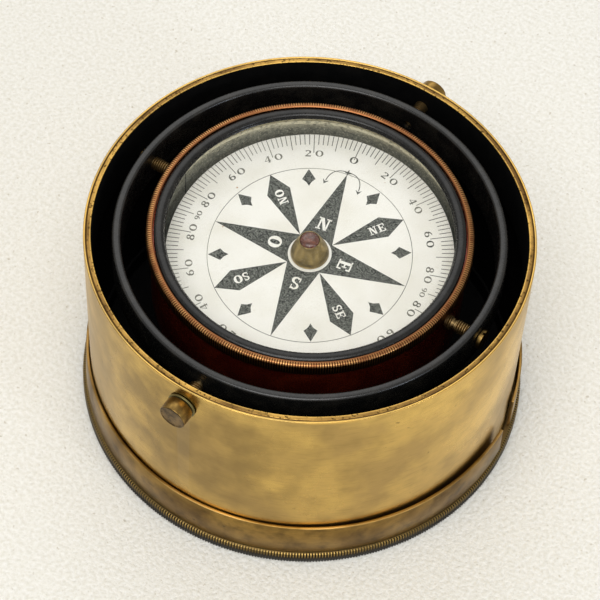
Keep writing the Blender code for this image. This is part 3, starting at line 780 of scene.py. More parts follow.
def thread(core, crest, start, end):
    """A helical thread about Z between two heights."""
    deselect_all()
    bpy.ops.mesh.primitive_plane_add(size=1)
    strand = bpy.context.object
    strand.name = strand.data.name = "thread"
    bpy.ops.object.mode_set(mode="EDIT")
    bpy.ops.mesh.select_mode(type="EDGE")
    bpy.ops.mesh.select_all(action="DESELECT")
    bpy.ops.object.mode_set(mode="OBJECT")
    for edge in strand.data.edges:
        edge.select = all(strand.data.vertices[v].co.y < 0 for v in edge.vertices)
    bpy.ops.object.mode_set(mode="EDIT")
    bpy.ops.mesh.delete(type="EDGE")
    bpy.ops.object.mode_set(mode="OBJECT")
    for vert in strand.data.vertices:
        radius, half = (crest, CREST_HALF) if vert.co.y > 0 else (core, CORE_HALF)
        share = 0.5 + math.copysign(half, vert.co.x)
        vert.co = (radius, 0, start + share * THREAD_PITCH)
    apply_modifier(
        strand,
        "sweep",
        "SCREW",
        screw_offset=THREAD_PITCH,
        iterations=int((end - start) / THREAD_PITCH) - 1,
        steps=THREAD_STEPS,
        render_steps=THREAD_STEPS,
        use_merge_vertices=True,
        merge_threshold=THREAD_MERGE,
    )
    bpy.ops.object.mode_set(mode="EDIT")
    close_seams(THREAD_MERGE)
    bpy.ops.object.shade_smooth_by_angle(angle=math.radians(25))
    return strand


def join(piece, other):
    pick(piece)
    other.select_set(True)
    bpy.ops.object.join()


def shank(core, start, cone, head_start):
    """Outline of a plain tip, a short cone and the core of a thread, up to the head."""
    return [
        (0.0, start - TIP_LENGTH),
        (TIP_RADIUS, start - TIP_LENGTH),
        (TIP_RADIUS, start),
        (core, start + cone),
        (core, head_start),
    ]


print("thread of", round(THREAD_PITCH / MM, 2), "mm pitch")

# %% [markdown]
# The screws of the case have plain round heads that a thumb can turn, slightly dished at the
# end where dirt has stayed. A thin collar lies under each head. Screw and collar are turned
# upright and then laid along the axis, once for each side.

# %% Case screws and collars
CASE_SHANK_END = RING_RADIUS + 0.3 * MM
CASE_CONE = 0.3 * MM
CASE_CORE, CASE_CREST = 1.9 * MM, 2.45 * MM
CASE_THREAD = (CASE_CORE, CASE_CREST, CASE_SHANK_END + CASE_CONE, CASE_RADIUS - 1.0 * MM)
CASE_HEAD_START = CASE_RADIUS + 1.2 * MM
CASE_HEAD_END = CASE_HEAD_START + 5.0 * MM
CASE_HEAD_RADIUS = 4.7 * MM
FOOT_ROUND, CROWN_ROUND = 0.3 * MM, 0.4 * MM
DISH_DEPTH = 0.25 * MM
GRIME_FROM = CASE_HEAD_END - 0.3 * MM
COLLAR_BOTTOM, COLLAR_TOP = CASE_RADIUS + 0.3 * MM, CASE_RADIUS + 0.9 * MM
COLLAR_RADIUS, COLLAR_ROUND = 5.0 * MM, 0.2 * MM
for side, direction in (("near", (0, -1, 0)), ("far", (0, 1, 0))):
    screw = turn(
        "case_screw_" + side,
        [
            *shank(CASE_CORE, CASE_SHANK_END, CASE_CONE, CASE_HEAD_START),
            *arc(CASE_HEAD_RADIUS - FOOT_ROUND, CASE_HEAD_START + FOOT_ROUND, FOOT_ROUND, -90, 0, 2),
            *arc(CASE_HEAD_RADIUS - CROWN_ROUND, CASE_HEAD_END - CROWN_ROUND, CROWN_ROUND, 0, 90, 3),
            (CASE_HEAD_RADIUS - 0.6 * MM, CASE_HEAD_END - 0.2 * DISH_DEPTH),
            (CASE_HEAD_RADIUS - 0.8 * MM, CASE_HEAD_END - 0.8 * DISH_DEPTH),
            (0.0, CASE_HEAD_END - DISH_DEPTH),
        ],
        SCREW_SEGMENTS,
    )
    join(screw, thread(*CASE_THREAD))
    lay_along(screw, direction, PIVOT)
    coat(screw, bar_brass, thread_brass, grimy_brass)
    for face in screw.data.polygons:
        along = abs(face.center.y)
        face.material_index = 1 if along < CASE_RADIUS else 2 if along > GRIME_FROM else 0
    seat(screw, "case", "aged_brass", "case_pivot_screw_" + side)
    collar = turn(
        "case_collar_" + side,
        [
            (CASE_HOLE, COLLAR_BOTTOM),
            (COLLAR_RADIUS, COLLAR_BOTTOM),
            *arc(COLLAR_RADIUS - COLLAR_ROUND, COLLAR_TOP - COLLAR_ROUND, COLLAR_ROUND, 0, 90, 2),
            (CASE_HOLE, COLLAR_TOP),
            (CASE_HOLE, COLLAR_BOTTOM),
        ],
        SCREW_SEGMENTS,
    )
    lay_along(collar, direction, PIVOT)
    coat(collar, green_brass)
    seat(collar, "case", "aged_brass", "case_pivot_collar_" + side)
print("case screws", round((CASE_HEAD_END - CASE_SHANK_END) / MM, 1), "mm long")

# %% [markdown]
# The screws of the ring have low slotted heads. The slot is a blade taken away by a Boolean
# while the screw is still upright, because the blade then needs no turning.

# %% Slotted ring screws
RING_SHANK_END = BOWL_RADIUS + 3.3 * MM
RING_CONE = 0.25 * MM
RING_CORE, RING_CREST = 1.75 * MM, 2.3 * MM
RING_HEAD_START = RING_RADIUS + 0.3 * MM
RING_HEAD_END = RING_HEAD_START + 1.5 * MM
RING_HEAD_RADIUS, RING_HEAD_ROUND = 3.5 * MM, 0.3 * MM
SLOT_DEPTH, SLOT_WIDTH = 0.8 * MM, 1.0 * MM
BLADE_LENGTH, BLADE_HEIGHT = 9 * MM, 2.0 * MM
SIDES = (("right", 1), ("left", -1))
crown = (RING_HEAD_RADIUS - RING_HEAD_ROUND, RING_HEAD_END - RING_HEAD_ROUND, RING_HEAD_ROUND)
for side, sign in SIDES:
    screw = turn(
        "ring_screw_" + side,
        [
            *shank(RING_CORE, RING_SHANK_END, RING_CONE, RING_HEAD_START),
            (RING_HEAD_RADIUS - 0.1 * MM, RING_HEAD_START),
            *arc(*crown, 0, 90, 3),
            (0.0, RING_HEAD_END),
        ],
        SCREW_SEGMENTS,
    )
    deselect_all()
    blade_middle = RING_HEAD_END - SLOT_DEPTH + BLADE_HEIGHT / 2
    bpy.ops.mesh.primitive_cube_add(size=1, location=(0, 0, blade_middle))
    blade = bpy.context.object
    blade.scale = (BLADE_LENGTH, SLOT_WIDTH, BLADE_HEIGHT)
    bpy.ops.object.transform_apply(location=True, rotation=True, scale=True)
    carve(screw, blade)
    join(screw, thread(RING_CORE, RING_CREST, RING_SHANK_END + RING_CONE, RING_HEAD_START))
    lay_along(screw, (sign, 0, 0), PIVOT)
    coat(screw, head_brass, thread_brass)
    for face in screw.data.polygons:
        face.material_index = int(abs(face.center.x) < RING_RADIUS)
    seat(screw, "ring", "aged_brass", "ring_pivot_screw_" + side)
print("ring screws", round((RING_HEAD_END - RING_SHANK_END) / MM, 1), "mm long")

# %% [markdown]
# ## Gimbal ring
# A flat brass ring, bent and soldered, with its edges filed round and then painted black. The
# rounding catches a thin line of light all round, so it is turned in several steps. A bevel on
# a plain ring would do the same, but the outline says it in one place.

# %% Gimbal ring
RING_INNER = RING_RADIUS - 3.1 * MM
RING_ROUND = 1.0 * MM
RING_SCREW_HOLE, TIP_HOLE = 2.4 * MM, 1.8 * MM
ring_in, ring_out = RING_INNER + RING_ROUND, RING_RADIUS - RING_ROUND
gimbal = turn(
    "gimbal_ring_filed",
    [
        (RING_INNER, PIVOT),
        *arc(ring_in, RING_BOTTOM + RING_ROUND, RING_ROUND, 180, 270, 4),
        *arc(ring_out, RING_BOTTOM + RING_ROUND, RING_ROUND, 270, 360, 4),
        *arc(ring_out, RING_TOP - RING_ROUND, RING_ROUND, 0, 90, 4),
        *arc(ring_in, RING_TOP - RING_ROUND, RING_ROUND, 90, 180, 4),
        (RING_INNER, PIVOT),
    ],
    256,
)
drill(gimbal, RING_SCREW_HOLE, (1, 0, 0))
drill(gimbal, TIP_HOLE, (0, 1, 0))
coat(gimbal, ring_black)
seat(gimbal, "ring", "black_lacquer", "gimbal_ring")
print("gimbal ring", round(2 * RING_RADIUS / MM, 1), "mm across")

# %% [markdown]
# ## Bowl
# The bowl is spun from one copper sheet: a straight wall, a wide rounding and a flat bottom,
# with a ledge soldered in for the glass. It is lacquered outside and painted inside. One
# outline goes up the outside and down the inside, so the sheet has its real thickness.

# %% Bowl
BOWL_BOTTOM, BOWL_TOP = node_heights("bowl")
BOWL_SHEET = 1.4 * MM
BOWL_CORNER = 22.0 * MM
LEDGE_TOP = PIVOT + 4.1 * MM
LEDGE_BOTTOM = LEDGE_TOP - 1.5 * MM
BARE_RIM = 1 * MM
bowl_inner = BOWL_RADIUS - BOWL_SHEET
ledge_inner = bowl_inner - 1.4 * MM
corner_radius, corner_height = BOWL_RADIUS - BOWL_CORNER, BOWL_BOTTOM + BOWL_CORNER
bowl = turn(
    "bowl_spun",
    [
        (0.0, BOWL_BOTTOM),
        *arc(corner_radius, corner_height, BOWL_CORNER, -90, 0, 14),
        (BOWL_RADIUS, BOWL_TOP),
        (bowl_inner, BOWL_TOP),
        (bowl_inner, LEDGE_TOP),
        (ledge_inner, LEDGE_TOP),
        (ledge_inner, LEDGE_BOTTOM),
        (bowl_inner, LEDGE_BOTTOM),
        *arc(corner_radius, corner_height, BOWL_CORNER - BOWL_SHEET, 0, -90, 14),
        (0.0, BOWL_BOTTOM + BOWL_SHEET),
    ],
    256,
)
coat(bowl, bowl_lacquer, bowl_paint)
for face in bowl.data.polygons:
    looks_up = face.normal.z > 0.5 and face.center.z < BOWL_TOP - BARE_RIM
    face.material_index = int(looks_in(face) or looks_up)
seat(bowl, "bowl_body", "lacquered_copper", "bowl")
print("bowl", round((BOWL_TOP - BOWL_BOTTOM) / MM, 1), "mm deep")

# %% [markdown]
# A short threaded bush on either side of the bowl takes the tip of a ring screw. It is a
# turned cup that gets the same thread as the screws.

# %% Bushes
BUSH_CORE, BUSH_CREST, BUSH_BORE = 2.0 * MM, 2.5 * MM, 1.8 * MM
BUSH_START, BUSH_END = BOWL_RADIUS + 0.3 * MM, BOWL_RADIUS + 3.0 * MM
BUSH_FLOOR = BUSH_START + 0.6 * MM
for side, sign in SIDES:
    bush = turn(
        "bowl_bush_turned_" + side,
        [
            (0.0, BUSH_START),
            (BUSH_CORE, BUSH_START),
            (BUSH_CORE, BUSH_END),
            (BUSH_BORE, BUSH_END),
            (BUSH_BORE, BUSH_FLOOR),
            (0.0, BUSH_FLOOR),
        ],
        48,
    )
    join(bush, thread(BUSH_CORE, BUSH_CREST, BUSH_START, BUSH_END))
    lay_along(bush, (sign, 0, 0), PIVOT)
    coat(bush, thread_brass)
    seat(bush, "bowl_body", "aged_brass", "bowl_bush_" + side)
print("bushes", round((BUSH_END - BUSH_START) / MM, 1), "mm long")

# %% [markdown]
# The bezel screws down over the rim of the bowl. Its outer edge is milled for the fingers, and
# the copper is bare. It is turned and milled in the same way as the edge of the lid.

# %% Bezel
BEZEL_RADIUS = node_radius("bezel")
RETAINER_BOTTOM, RETAINER_TOP = node_heights("glass_retainer")
BEZEL_ROUND = 1.0 * MM
BEZEL_CHAMFER = 0.5 * MM
BEZEL_TEETH_FROM = BEZEL_RADIUS - 0.8 * MM
BEZEL_TEETH_DEPTH = 0.28 * MM
BEZEL_TEETH_LOW, BEZEL_TEETH_HIGH = BEZEL_BOTTOM + 0.4 * MM, BEZEL_TOP + MM
bezel_inner = BOWL_RADIUS + 0.3 * MM
bezel_lip = bezel_inner - 1.2 * MM
bezel = turn(
    "bezel_milled",
    [
        (bezel_inner, BEZEL_BOTTOM),
        (BEZEL_RADIUS - BEZEL_CHAMFER, BEZEL_BOTTOM),
        (BEZEL_RADIUS, BEZEL_BOTTOM + BEZEL_CHAMFER),
        *arc(BEZEL_RADIUS - BEZEL_ROUND, BEZEL_TOP - BEZEL_ROUND, BEZEL_ROUND, 0, 75, 4),
        (bezel_lip + 0.3 * MM, BEZEL_TOP),
        (bezel_lip, BEZEL_TOP - 0.2 * MM),
        (bezel_lip, RETAINER_BOTTOM),
        (bezel_inner, RETAINER_BOTTOM),
        (bezel_inner, BEZEL_BOTTOM),
    ],
    2 * BEZEL_TEETH,
)
bezel_teeth = (BEZEL_TEETH_DEPTH, 2 * BEZEL_TEETH, BEZEL_TEETH_LOW, BEZEL_TEETH_HIGH)
mill(bezel, BEZEL_TEETH_FROM, *bezel_teeth)
coat(bezel, bezel_milled)
seat(bezel, "bowl_body", "lacquered_copper", "bezel")
print("bezel with", BEZEL_TEETH, "teeth")

# %% [markdown]
# Inside the bezel lies the black ring that presses on the glass. It has a low round bead where
# it meets the bezel, and slopes down to the window. The bead is half an ellipse, worked out
# from its width and height, because half a circle as wide would stand too high.

# %% Retaining ring
RETAINER_RADIUS = node_radius("glass_retainer")
WINDOW_RADIUS = 48.0 * MM
WINDOW_EDGE = 0.3 * MM
BEAD_HALF_WIDTH, BEAD_HEIGHT = 1.7 * MM, 0.8 * MM
bead_middle, bead_base = RETAINER_RADIUS - BEAD_HALF_WIDTH, RETAINER_TOP - 0.85 * MM
bead = []
for degrees in range(0, 181, 15):
    across, rise = math.cos(math.radians(degrees)), math.sin(math.radians(degrees))
    bead.append((bead_middle + BEAD_HALF_WIDTH * across, bead_base + BEAD_HEIGHT * rise))
retainer = turn(
    "glass_ring_black",
    [
        (WINDOW_RADIUS, RETAINER_BOTTOM),
        (RETAINER_RADIUS, RETAINER_BOTTOM),
        *bead,
        (WINDOW_RADIUS, RETAINER_BOTTOM + WINDOW_EDGE),
        (WINDOW_RADIUS, RETAINER_BOTTOM),
    ],
    256,
)
coat(retainer, retainer_black)
seat(retainer, "bowl_body", "black_lacquer", "glass_retainer")
print("window", round(2 * WINDOW_RADIUS / MM, 1), "mm across")

# %% [markdown]
# The pane under the ring is a round of plate glass with its sharp edges ground off. A bevelled
# cylinder would do as well, but an outline says all its sizes in one place.

# %% Glass
GLASS_RADIUS = node_radius("glass")
GLASS_BOTTOM, GLASS_TOP = node_heights("glass")
PANE_CHAMFER = 0.2 * MM
pane = turn(
    "window_pane",
    [
        (0.0, GLASS_BOTTOM),
        (GLASS_RADIUS - PANE_CHAMFER, GLASS_BOTTOM),
        (GLASS_RADIUS, GLASS_BOTTOM + PANE_CHAMFER),
        (GLASS_RADIUS, GLASS_TOP - PANE_CHAMFER),
        (GLASS_RADIUS - PANE_CHAMFER, GLASS_TOP),
        (0.0, GLASS_TOP),
    ],
)
coat(pane, plate_glass)
seat(pane, "bowl_body", "window_glass", "glass")
print("pane", round((GLASS_TOP - GLASS_BOTTOM) / MM, 1), "mm thick")

# %% [markdown]
# ## Card
# The card is a thin disc with a brass cone in its middle, which holds a polished jewel. The
# jewel sits on the point of a pin, so the card can dip, and it dips a few degrees in the
# photograph. All its pieces are turned level and then leaned about the point of the pin, which
# the joint in the record gives.

# %% Card disc
CARD_RADIUS, CARD_BORE = 48.5 * MM, 3.7 * MM
CARD_TOP = PIVOT - 4.7 * MM
CARD_BOTTOM = CARD_TOP - 0.8 * MM
card_joint = next(j for j in frame["record"]["behaviour"]["joints"] if j["name"] == "card_spin")
PIN_POINT = Vector(card_joint["pos_m"])
CARD_AXIS = Vector(card_joint["axis"])


def seat_on_card(piece, slot, *nodes):
    """Dips a piece that was made level about the point of the pin, and lets it ride on the card."""
    lean = Vector((0, 0, 1)).rotation_difference(CARD_AXIS).to_matrix().to_4x4()
    piece.data.transform(Matrix.Translation(PIN_POINT) @ lean @ Matrix.Translation(-PIN_POINT))
    seat(piece, "card", slot, *nodes)


def flat_ring(inner, outer, bottom, top):
    return [(inner, bottom), (outer, bottom), (outer, top), (inner, top), (inner, bottom)]


card = turn("card_disc", flat_ring(CARD_BORE, CARD_RADIUS, CARD_BOTTOM, CARD_TOP), 256)
coat(card, dial_paper)
seat_on_card(card, "card_paper", "compass_card")
print("card", round(2 * CARD_RADIUS / MM, 1), "mm across")

# %% [markdown]
# The cap is a hollow cone of brass whose side narrows in a slow curve. The jewel lies in a bore
# at its top and stands a little proud of it, with a polished dome. Curves could draw both, but
# on pieces of a few millimetres the corners of a short outline are enough.

# %% Cap and jewel
CAP_BOTTOM, CAP_FOOT, CAP_TOP = CARD_TOP - 3.6 * MM, CARD_TOP + 0.3 * MM, PIVOT + 4.0 * MM
CAP_BORE, CAP_NECK, CAP_SEAT = 2.3 * MM, 3.4 * MM, 3.35 * MM
JEWEL_RADIUS = 3.25 * MM
JEWEL_BOTTOM, JEWEL_TOP = CAP_TOP - 2.2 * MM, CAP_TOP + 0.5 * MM
SEAT_FLOOR = JEWEL_BOTTOM - 0.3 * MM
cap = turn(
    "cap_cone",
    [
        (CAP_BORE, CAP_BOTTOM),
        (CAP_NECK, CAP_BOTTOM),
        (CAP_NECK, CAP_FOOT),
        (6.4 * MM, CAP_FOOT),
        (6.5 * MM, CAP_FOOT + 0.5 * MM),
        (6.0 * MM, CAP_FOOT + 2.4 * MM),
        (5.0 * MM, CAP_FOOT + 5.0 * MM),
        (4.1 * MM, CAP_FOOT + 7.0 * MM),
        *arc(CAP_SEAT + 0.1 * MM, CAP_TOP - 0.3 * MM, 0.1 * MM, 10, 130, 3),
        (CAP_SEAT, CAP_TOP - 0.5 * MM),
        (CAP_SEAT, SEAT_FLOOR),
        (CAP_BORE, SEAT_FLOOR),
        (CAP_BORE, CAP_BOTTOM),
    ],
    72,
)
coat(cap, cap_brass)
seat_on_card(cap, "aged_brass", "card_cap")
jewel = turn(
    "jewel_polished",
    [
        (0.0, JEWEL_BOTTOM),
        (JEWEL_RADIUS, JEWEL_BOTTOM),
        (JEWEL_RADIUS, JEWEL_TOP - 0.9 * MM),
        (3.05 * MM, JEWEL_TOP - 0.55 * MM),
        (2.5 * MM, JEWEL_TOP - 0.25 * MM),
        (1.4 * MM, JEWEL_TOP - 0.06 * MM),
        (0.0, JEWEL_TOP),
    ],
    48,
)
coat(jewel, agate)
seat_on_card(jewel, "brown_agate", "cap_jewel")
print("cap", round((CAP_TOP - CAP_BOTTOM) / MM, 1), "mm high")

# %% [markdown]
# The print is laid on the card as sheets of ink a few hundredths of a millimetre thick, so that
# its lines stay sharp at any distance, which a painted texture would not. Shapes are drawn by
# bearing and radius, and bearings run clockwise from north. A point of the rose is the same on
# both sides, so only the corners of its right half are given.

# %% Ink shapes by bearing and radius
INK = 0.03 * MM
NORTH = math.radians(100.7)
STAR_TIP, STAR_WAIST = 34.4 * MM, 8.2 * MM


def on_card(bearing, radius, aside=0.0):
    """A point of the card: degrees, a radius, and a step to the right of that bearing."""
    angle = NORTH - math.radians(bearing)
    out = Vector((math.cos(angle), math.sin(angle)))
    right_hand = Vector((out.y, -out.x))
    return out * radius + right_hand * aside


def print_sheet(name, outlines, base, finish):
    """One thin sheet of ink from flat outlines, each a list of 2-D points."""
    corners, faces = [], []
    for outline in outlines:
        area = sum(a.x * b.y - b.x * a.y for a, b in zip(outline, outline[1:] + outline[:1]))
        ordered = outline if area > 0 else outline[::-1]
        faces.append(list(range(len(corners), len(corners) + len(ordered))))
        corners.extend((point.x, point.y, base) for point in ordered)
    mesh = bpy.data.meshes.new(name)
    mesh.from_pydata(corners, [], faces)
    piece = bpy.data.objects.new(name, mesh)
    bpy.context.scene.collection.objects.link(piece)
    apply_modifier(piece, "thickness", "SOLIDIFY", thickness=INK, offset=1.0)
    coat(piece, finish)
    seat_on_card(piece, "card_paper")


def mirrored(bearing, corners):
    """An outline from the (radius, aside) corners of its right half, end to end."""
    left_half = [(radius, -aside) for radius, aside in corners[-2:0:-1]]
    return [on_card(bearing, radius, aside) for radius, aside in [*corners, *left_half]]


waist = STAR_WAIST * math.cos(math.radians(45))
MAIN_POINT = [(STAR_TIP, 0), (waist, waist), (0, 0)]
HALF_POINT = [(STAR_WAIST, 0), (27 * MM, 4.2 * MM), (STAR_TIP, 0)]
SMALL_POINT = [(34.1 * MM, 0), (30.0 * MM, 2.3 * MM), (28.7 * MM, 0.8 * MM), (27.2 * MM, 0)]
rose = [mirrored(bearing, MAIN_POINT) for bearing in range(0, 360, 90)]
rose += [mirrored(bearing, HALF_POINT) for bearing in range(45, 360, 90)]
rose += [mirrored(22.5 + 45 * step, SMALL_POINT) for step in range(8)]
print_sheet("card_rose", rose, CARD_TOP, ink)
print("rose of", len(rose), "shapes")

# %% [markdown]
# Outside the rose lie a thin circle and the scale: a tick for every two degrees, a longer one
# for each ten and the longest for each twenty. The ticks and the circle are narrow quads.

# %% Scale ticks and circle
TICK_EDGE = CARD_RADIUS - 0.1 * MM
TICK_HALF, CIRCLE_HALF = 0.13 * MM, 0.10 * MM
LONG_TICK, MIDDLE_TICK, SHORT_TICK = 40.9 * MM, 42.3 * MM, 44.3 * MM
CIRCLE_STEP = 1.5
scale = []
for degree in range(0, 360, 2):
    inner = LONG_TICK if degree % 20 == 0 else MIDDLE_TICK if degree % 10 == 0 else SHORT_TICK
    foot = [on_card(degree, inner, aside) for aside in (-TICK_HALF, TICK_HALF)]
    head = [on_card(degree, TICK_EDGE, aside) for aside in (TICK_HALF, -TICK_HALF)]
    scale.append(foot + head)
inner, outer = STAR_TIP - CIRCLE_HALF, STAR_TIP + CIRCLE_HALF
for step in range(240):
    a, b = step * CIRCLE_STEP, step * CIRCLE_STEP + CIRCLE_STEP
    scale.append([on_card(a, inner), on_card(b, inner), on_card(b, outer), on_card(a, outer)])
print_sheet("card_scale", scale, CARD_TOP, scale_ink)
print("scale of", len(scale), "lines")

# %% [markdown]
# Two fine arrows leave the tip of north on either side and bend back, and a small star lies
# between them. Each arrow is a curve from one point to another that bends towards a third. It
# is drawn as a strip of quads, which keep the line equally wide all along.

# %% Arrows at north
ARROW_STEPS = 12
ARROW_HALF = 0.15 * MM
BARB_AHEAD, BARB_ASIDE, BARB_BACK, BARB_NOTCH = 1.5, 1.1, 0.3, 0.4
STAR_RADIUS = 35.0 * MM
STAR = ((1.4, 0.0), (0.35, 0.35), (0.0, 1.4), (-0.35, 0.35), (-1.4, 0.0))
arrows = []
for side in (-1, 1):
    start, bend = on_card(0, 35.2 * MM), on_card(side * 9, 36.0 * MM)
    end = on_card(side * 11.6, 30.0 * MM)
    track = []
    for t in [step / ARROW_STEPS for step in range(ARROW_STEPS + 1)]:
        track.append(start * (1 - t) ** 2 + bend * 2 * t * (1 - t) + end * t**2)
    for a, b in zip(track, track[1:]):
        across = Vector((b.y - a.y, a.x - b.x)).normalized() * ARROW_HALF
        arrows.append([a - across, b - across, b + across, a + across])
    ahead = (track[-1] - track[-2]).normalized() * MM
    across = Vector((ahead.y, -ahead.x))
    for barb in (-BARB_ASIDE, BARB_ASIDE):
        tail = end + across * barb - ahead * BARB_BACK
        arrows.append([end + ahead * BARB_AHEAD, tail, end + ahead * BARB_NOTCH])
star = [(STAR_RADIUS + out * MM, aside * MM) for out, aside in STAR]
arrows.append(mirrored(0, star))
print_sheet("card_arrows", arrows, CARD_TOP, ink)
print("arrows of", len(arrows), "strips")

# %% [markdown]
# The letters on the rose are white with serifs. Text objects would need a typeface like it, so
# each sign is built from a few straight strokes in a box one unit high, and the round ones from
# strips along an ellipse, with a pen that is broad at the sides. They stand on the ink.

# %% Letter strokes


def slant(*corners):
    return [[Vector(corner) for corner in corners]]


def bars(*boxes):
    """Upright and level strokes, each given by its lower left and upper right corner."""
    return [slant((x, y), (far, y), (far, top), (x, top))[0] for x, y, far, top in boxes]


def bow(centre, size, start, end, thin, thick, steps):
    """Strips along an ellipse, broad where it runs up and down."""
    rows = []
    for step in range(steps + 1):
        t = math.radians(start + (end - start) * step / steps)
        half_pen = (thin + (thick - thin) * abs(math.cos(t)) ** 1.5) / 2
        out = Vector((math.cos(t), math.sin(t)))
        middle = Vector(centre) + Vector((size[0] * out.x, size[1] * out.y))
        rows.append((middle - out * half_pen, middle + out * half_pen))
    return [[a[0], a[1], b[1], b[0]] for a, b in zip(rows, rows[1:])]


print("pen ready")

# %% [markdown]
# Only the signs that the card needs are drawn, four letters and six figures. A nine is a six
# turned upside down. Each sign has its own width, as metal type has, which spaces words evenly.

# %% Signs of the card
six = bow((0.43, 0.30), (0.31, 0.26), 0, 360, 0.08, 0.23, 22)
six += bow((0.62, 0.42), (0.51, 0.54), 175, 95, 0.08, 0.22, 8)
SIX_WIDTH = 0.86
nine = [[Vector((SIX_WIDTH - p.x, 1 - p.y)) for p in shape] for shape in six]
SIGNS = {
    "N": [
        *bars((0.12, 0.0, 0.24, 1.0), (0.68, 0.0, 0.80, 1.0)),
        *slant((0.12, 1.0), (0.36, 1.0), (0.80, 0.0), (0.58, 0.0)),
        *bars((0.0, 0.0, 0.36, 0.1), (0.56, 0.9, 0.92, 1.0), (0.0, 0.9, 0.2, 1.0)),
    ],
    "E": [
        *bars((0.12, 0.0, 0.34, 1.0), (0.0, 0.0, 0.78, 0.11), (0.0, 0.89, 0.78, 1.0)),
        *bars((0.34, 0.45, 0.58, 0.56), (0.52, 0.34, 0.60, 0.68)),
        *bars((0.68, 0.0, 0.80, 0.32), (0.68, 0.68, 0.80, 1.0)),
    ],
    "O": bow((0.44, 0.5), (0.33, 0.43), 0, 360, 0.12, 0.30, 36),
    "S": [
        *bow((0.36, 0.735), (0.22, 0.215), 40, 270, 0.11, 0.18, 16),
        *bow((0.36, 0.265), (0.24, 0.22), 90, -140, 0.12, 0.20, 16),
        *bars((0.54, 0.66, 0.61, 1.0), (0.08, 0.0, 0.15, 0.34)),
    ],
    "0": bow((0.5, 0.5), (0.40, 0.44), 0, 360, 0.08, 0.25, 28),
    "2": [
        *bow((0.42, 0.72), (0.29, 0.23), 160, -40, 0.08, 0.22, 12),
        *slant((0.58, 0.62), (0.70, 0.56), (0.20, 0.10), (0.06, 0.10)),
        *bars((0.06, 0.0, 0.80, 0.17)),
    ],
    "4": [
        *bars((0.02, 0.26, 0.86, 0.34), (0.50, 0.0, 0.70, 1.0), (0.40, 0.0, 0.78, 0.06)),
        *slant((0.50, 1.0), (0.58, 1.0), (0.10, 0.30), (0.02, 0.30)),
    ],
    "6": six,
    "8": [
        *bow((0.42, 0.75), (0.25, 0.21), 0, 360, 0.08, 0.20, 18),
        *bow((0.42, 0.27), (0.31, 0.24), 0, 360, 0.08, 0.24, 22),
    ],
    "9": nine,
}
WIDTHS = {"N": 0.92, "E": 0.80, "O": 0.88, "S": 0.70, "0": 1.0, "2": 0.85, "4": 0.88, "8": 0.84}
WIDTHS.update({"6": SIX_WIDTH, "9": SIX_WIDTH})
print("signs drawn:", " ".join(SIGNS))

# %% [markdown]
# A word is set sign after sign and centred on its own box. The four main letters stand upright
# on their bearing, and the pairs between them read along it, so each kind has its own small
# map from the box to the card.

# %% Letters on the rose
SIGN_GAP = 0.12
MAIN_HEIGHT, MAIN_RADIUS = 4.8 * MM, 12.6 * MM
PAIR_HEIGHT, PAIR_RADIUS = 3.1 * MM, 24.6 * MM


def word(text, height, place_point):
    """Strokes of a word, centred on its box, mapped to the card by a function of (along, up)."""
    strokes, width = [], 0.0
    for sign in text:
        strokes += [[Vector((p.x + width, p.y)) for p in shape] for shape in SIGNS[sign]]
        width += WIDTHS[sign] + SIGN_GAP
    middle = Vector(((width - SIGN_GAP) / 2, 0.5))
    return [[place_point(*((p - middle) * height)) for p in shape] for shape in strokes]


letters = []
for bearing, sign in ((0, "N"), (90, "E"), (180, "S"), (270, "O")):
    letters += word(sign, MAIN_HEIGHT, lambda x, y, b=bearing: on_card(b, MAIN_RADIUS + y, x))
for bearing, sign in ((45, "NE"), (135, "SE"), (225, "SO"), (315, "NO")):
    letters += word(sign, PAIR_HEIGHT, lambda x, y, b=bearing: on_card(b, PAIR_RADIUS + x, -y))
print_sheet("card_letters", letters, CARD_TOP + INK, dial_paper)
print("letters of", len(letters), "strokes")

# %% [markdown]
# The figures of the scale are drawn in the same way, in a thinner grey ink. They count up to 90
# from north and south on either side, and the long tick runs between the two digits.

# %% Scale figures
FIGURE_RADIUS = 40.6 * MM
POLE_HEIGHT, FIGURE_HEIGHT, SIDE_HEIGHT = 2.8 * MM, 2.6 * MM, 1.8 * MM
FIGURE_APART, SIDE_APART = 1.95 * MM, 1.0 * MM
figures = []


def print_figure(digit, size, bearing, aside):
    figures.extend(word(digit, size, lambda x, y: on_card(bearing, FIGURE_RADIUS + y, aside + x)))


def print_pair(digits, size, bearing, apart):
    for digit, aside in zip(digits, (-apart, apart)):
        print_figure(digit, size, bearing, aside)


for pole in (0, 180):
    print_figure("0", POLE_HEIGHT, pole, 0)
    for value in (20, 40, 60, 80):
        for side in (-1, 1):
            print_pair(str(value), FIGURE_HEIGHT, pole + side * value, FIGURE_APART)
for bearing in (90, 270):
    print_pair("90", SIDE_HEIGHT, bearing, SIDE_APART)
print_sheet("card_figures", figures, CARD_TOP, scale_ink)
print("figures of", len(figures), "strokes")

# %% [markdown]
# A narrow ring of bare paper is left round the foot of the cone. It covers the ink at the
# middle of the rose, so it is a flat ring that lies a little higher than the ink.

# %% Paper ring round the cap
CENTRE_INNER, CENTRE_OUTER = 6.0 * MM, 7.35 * MM
centre_outline = flat_ring(CENTRE_INNER, CENTRE_OUTER, CARD_TOP, CARD_TOP + 2 * INK)
paper_ring = turn("card_centre_ring", centre_outline, 96)
coat(paper_ring, dial_paper)
seat_on_card(paper_ring, "card_paper")
print("paper ring", round((CENTRE_OUTER - CENTRE_INNER) / MM, 2), "mm wide")

# %% [markdown]
# ## Pieces that stay as they are
# The floor of the drum, the weight, the pedestal, the pin, the magnets, the nut and the putty
# under the glass hardly show, and their CAD shapes are right. They only get a finish.

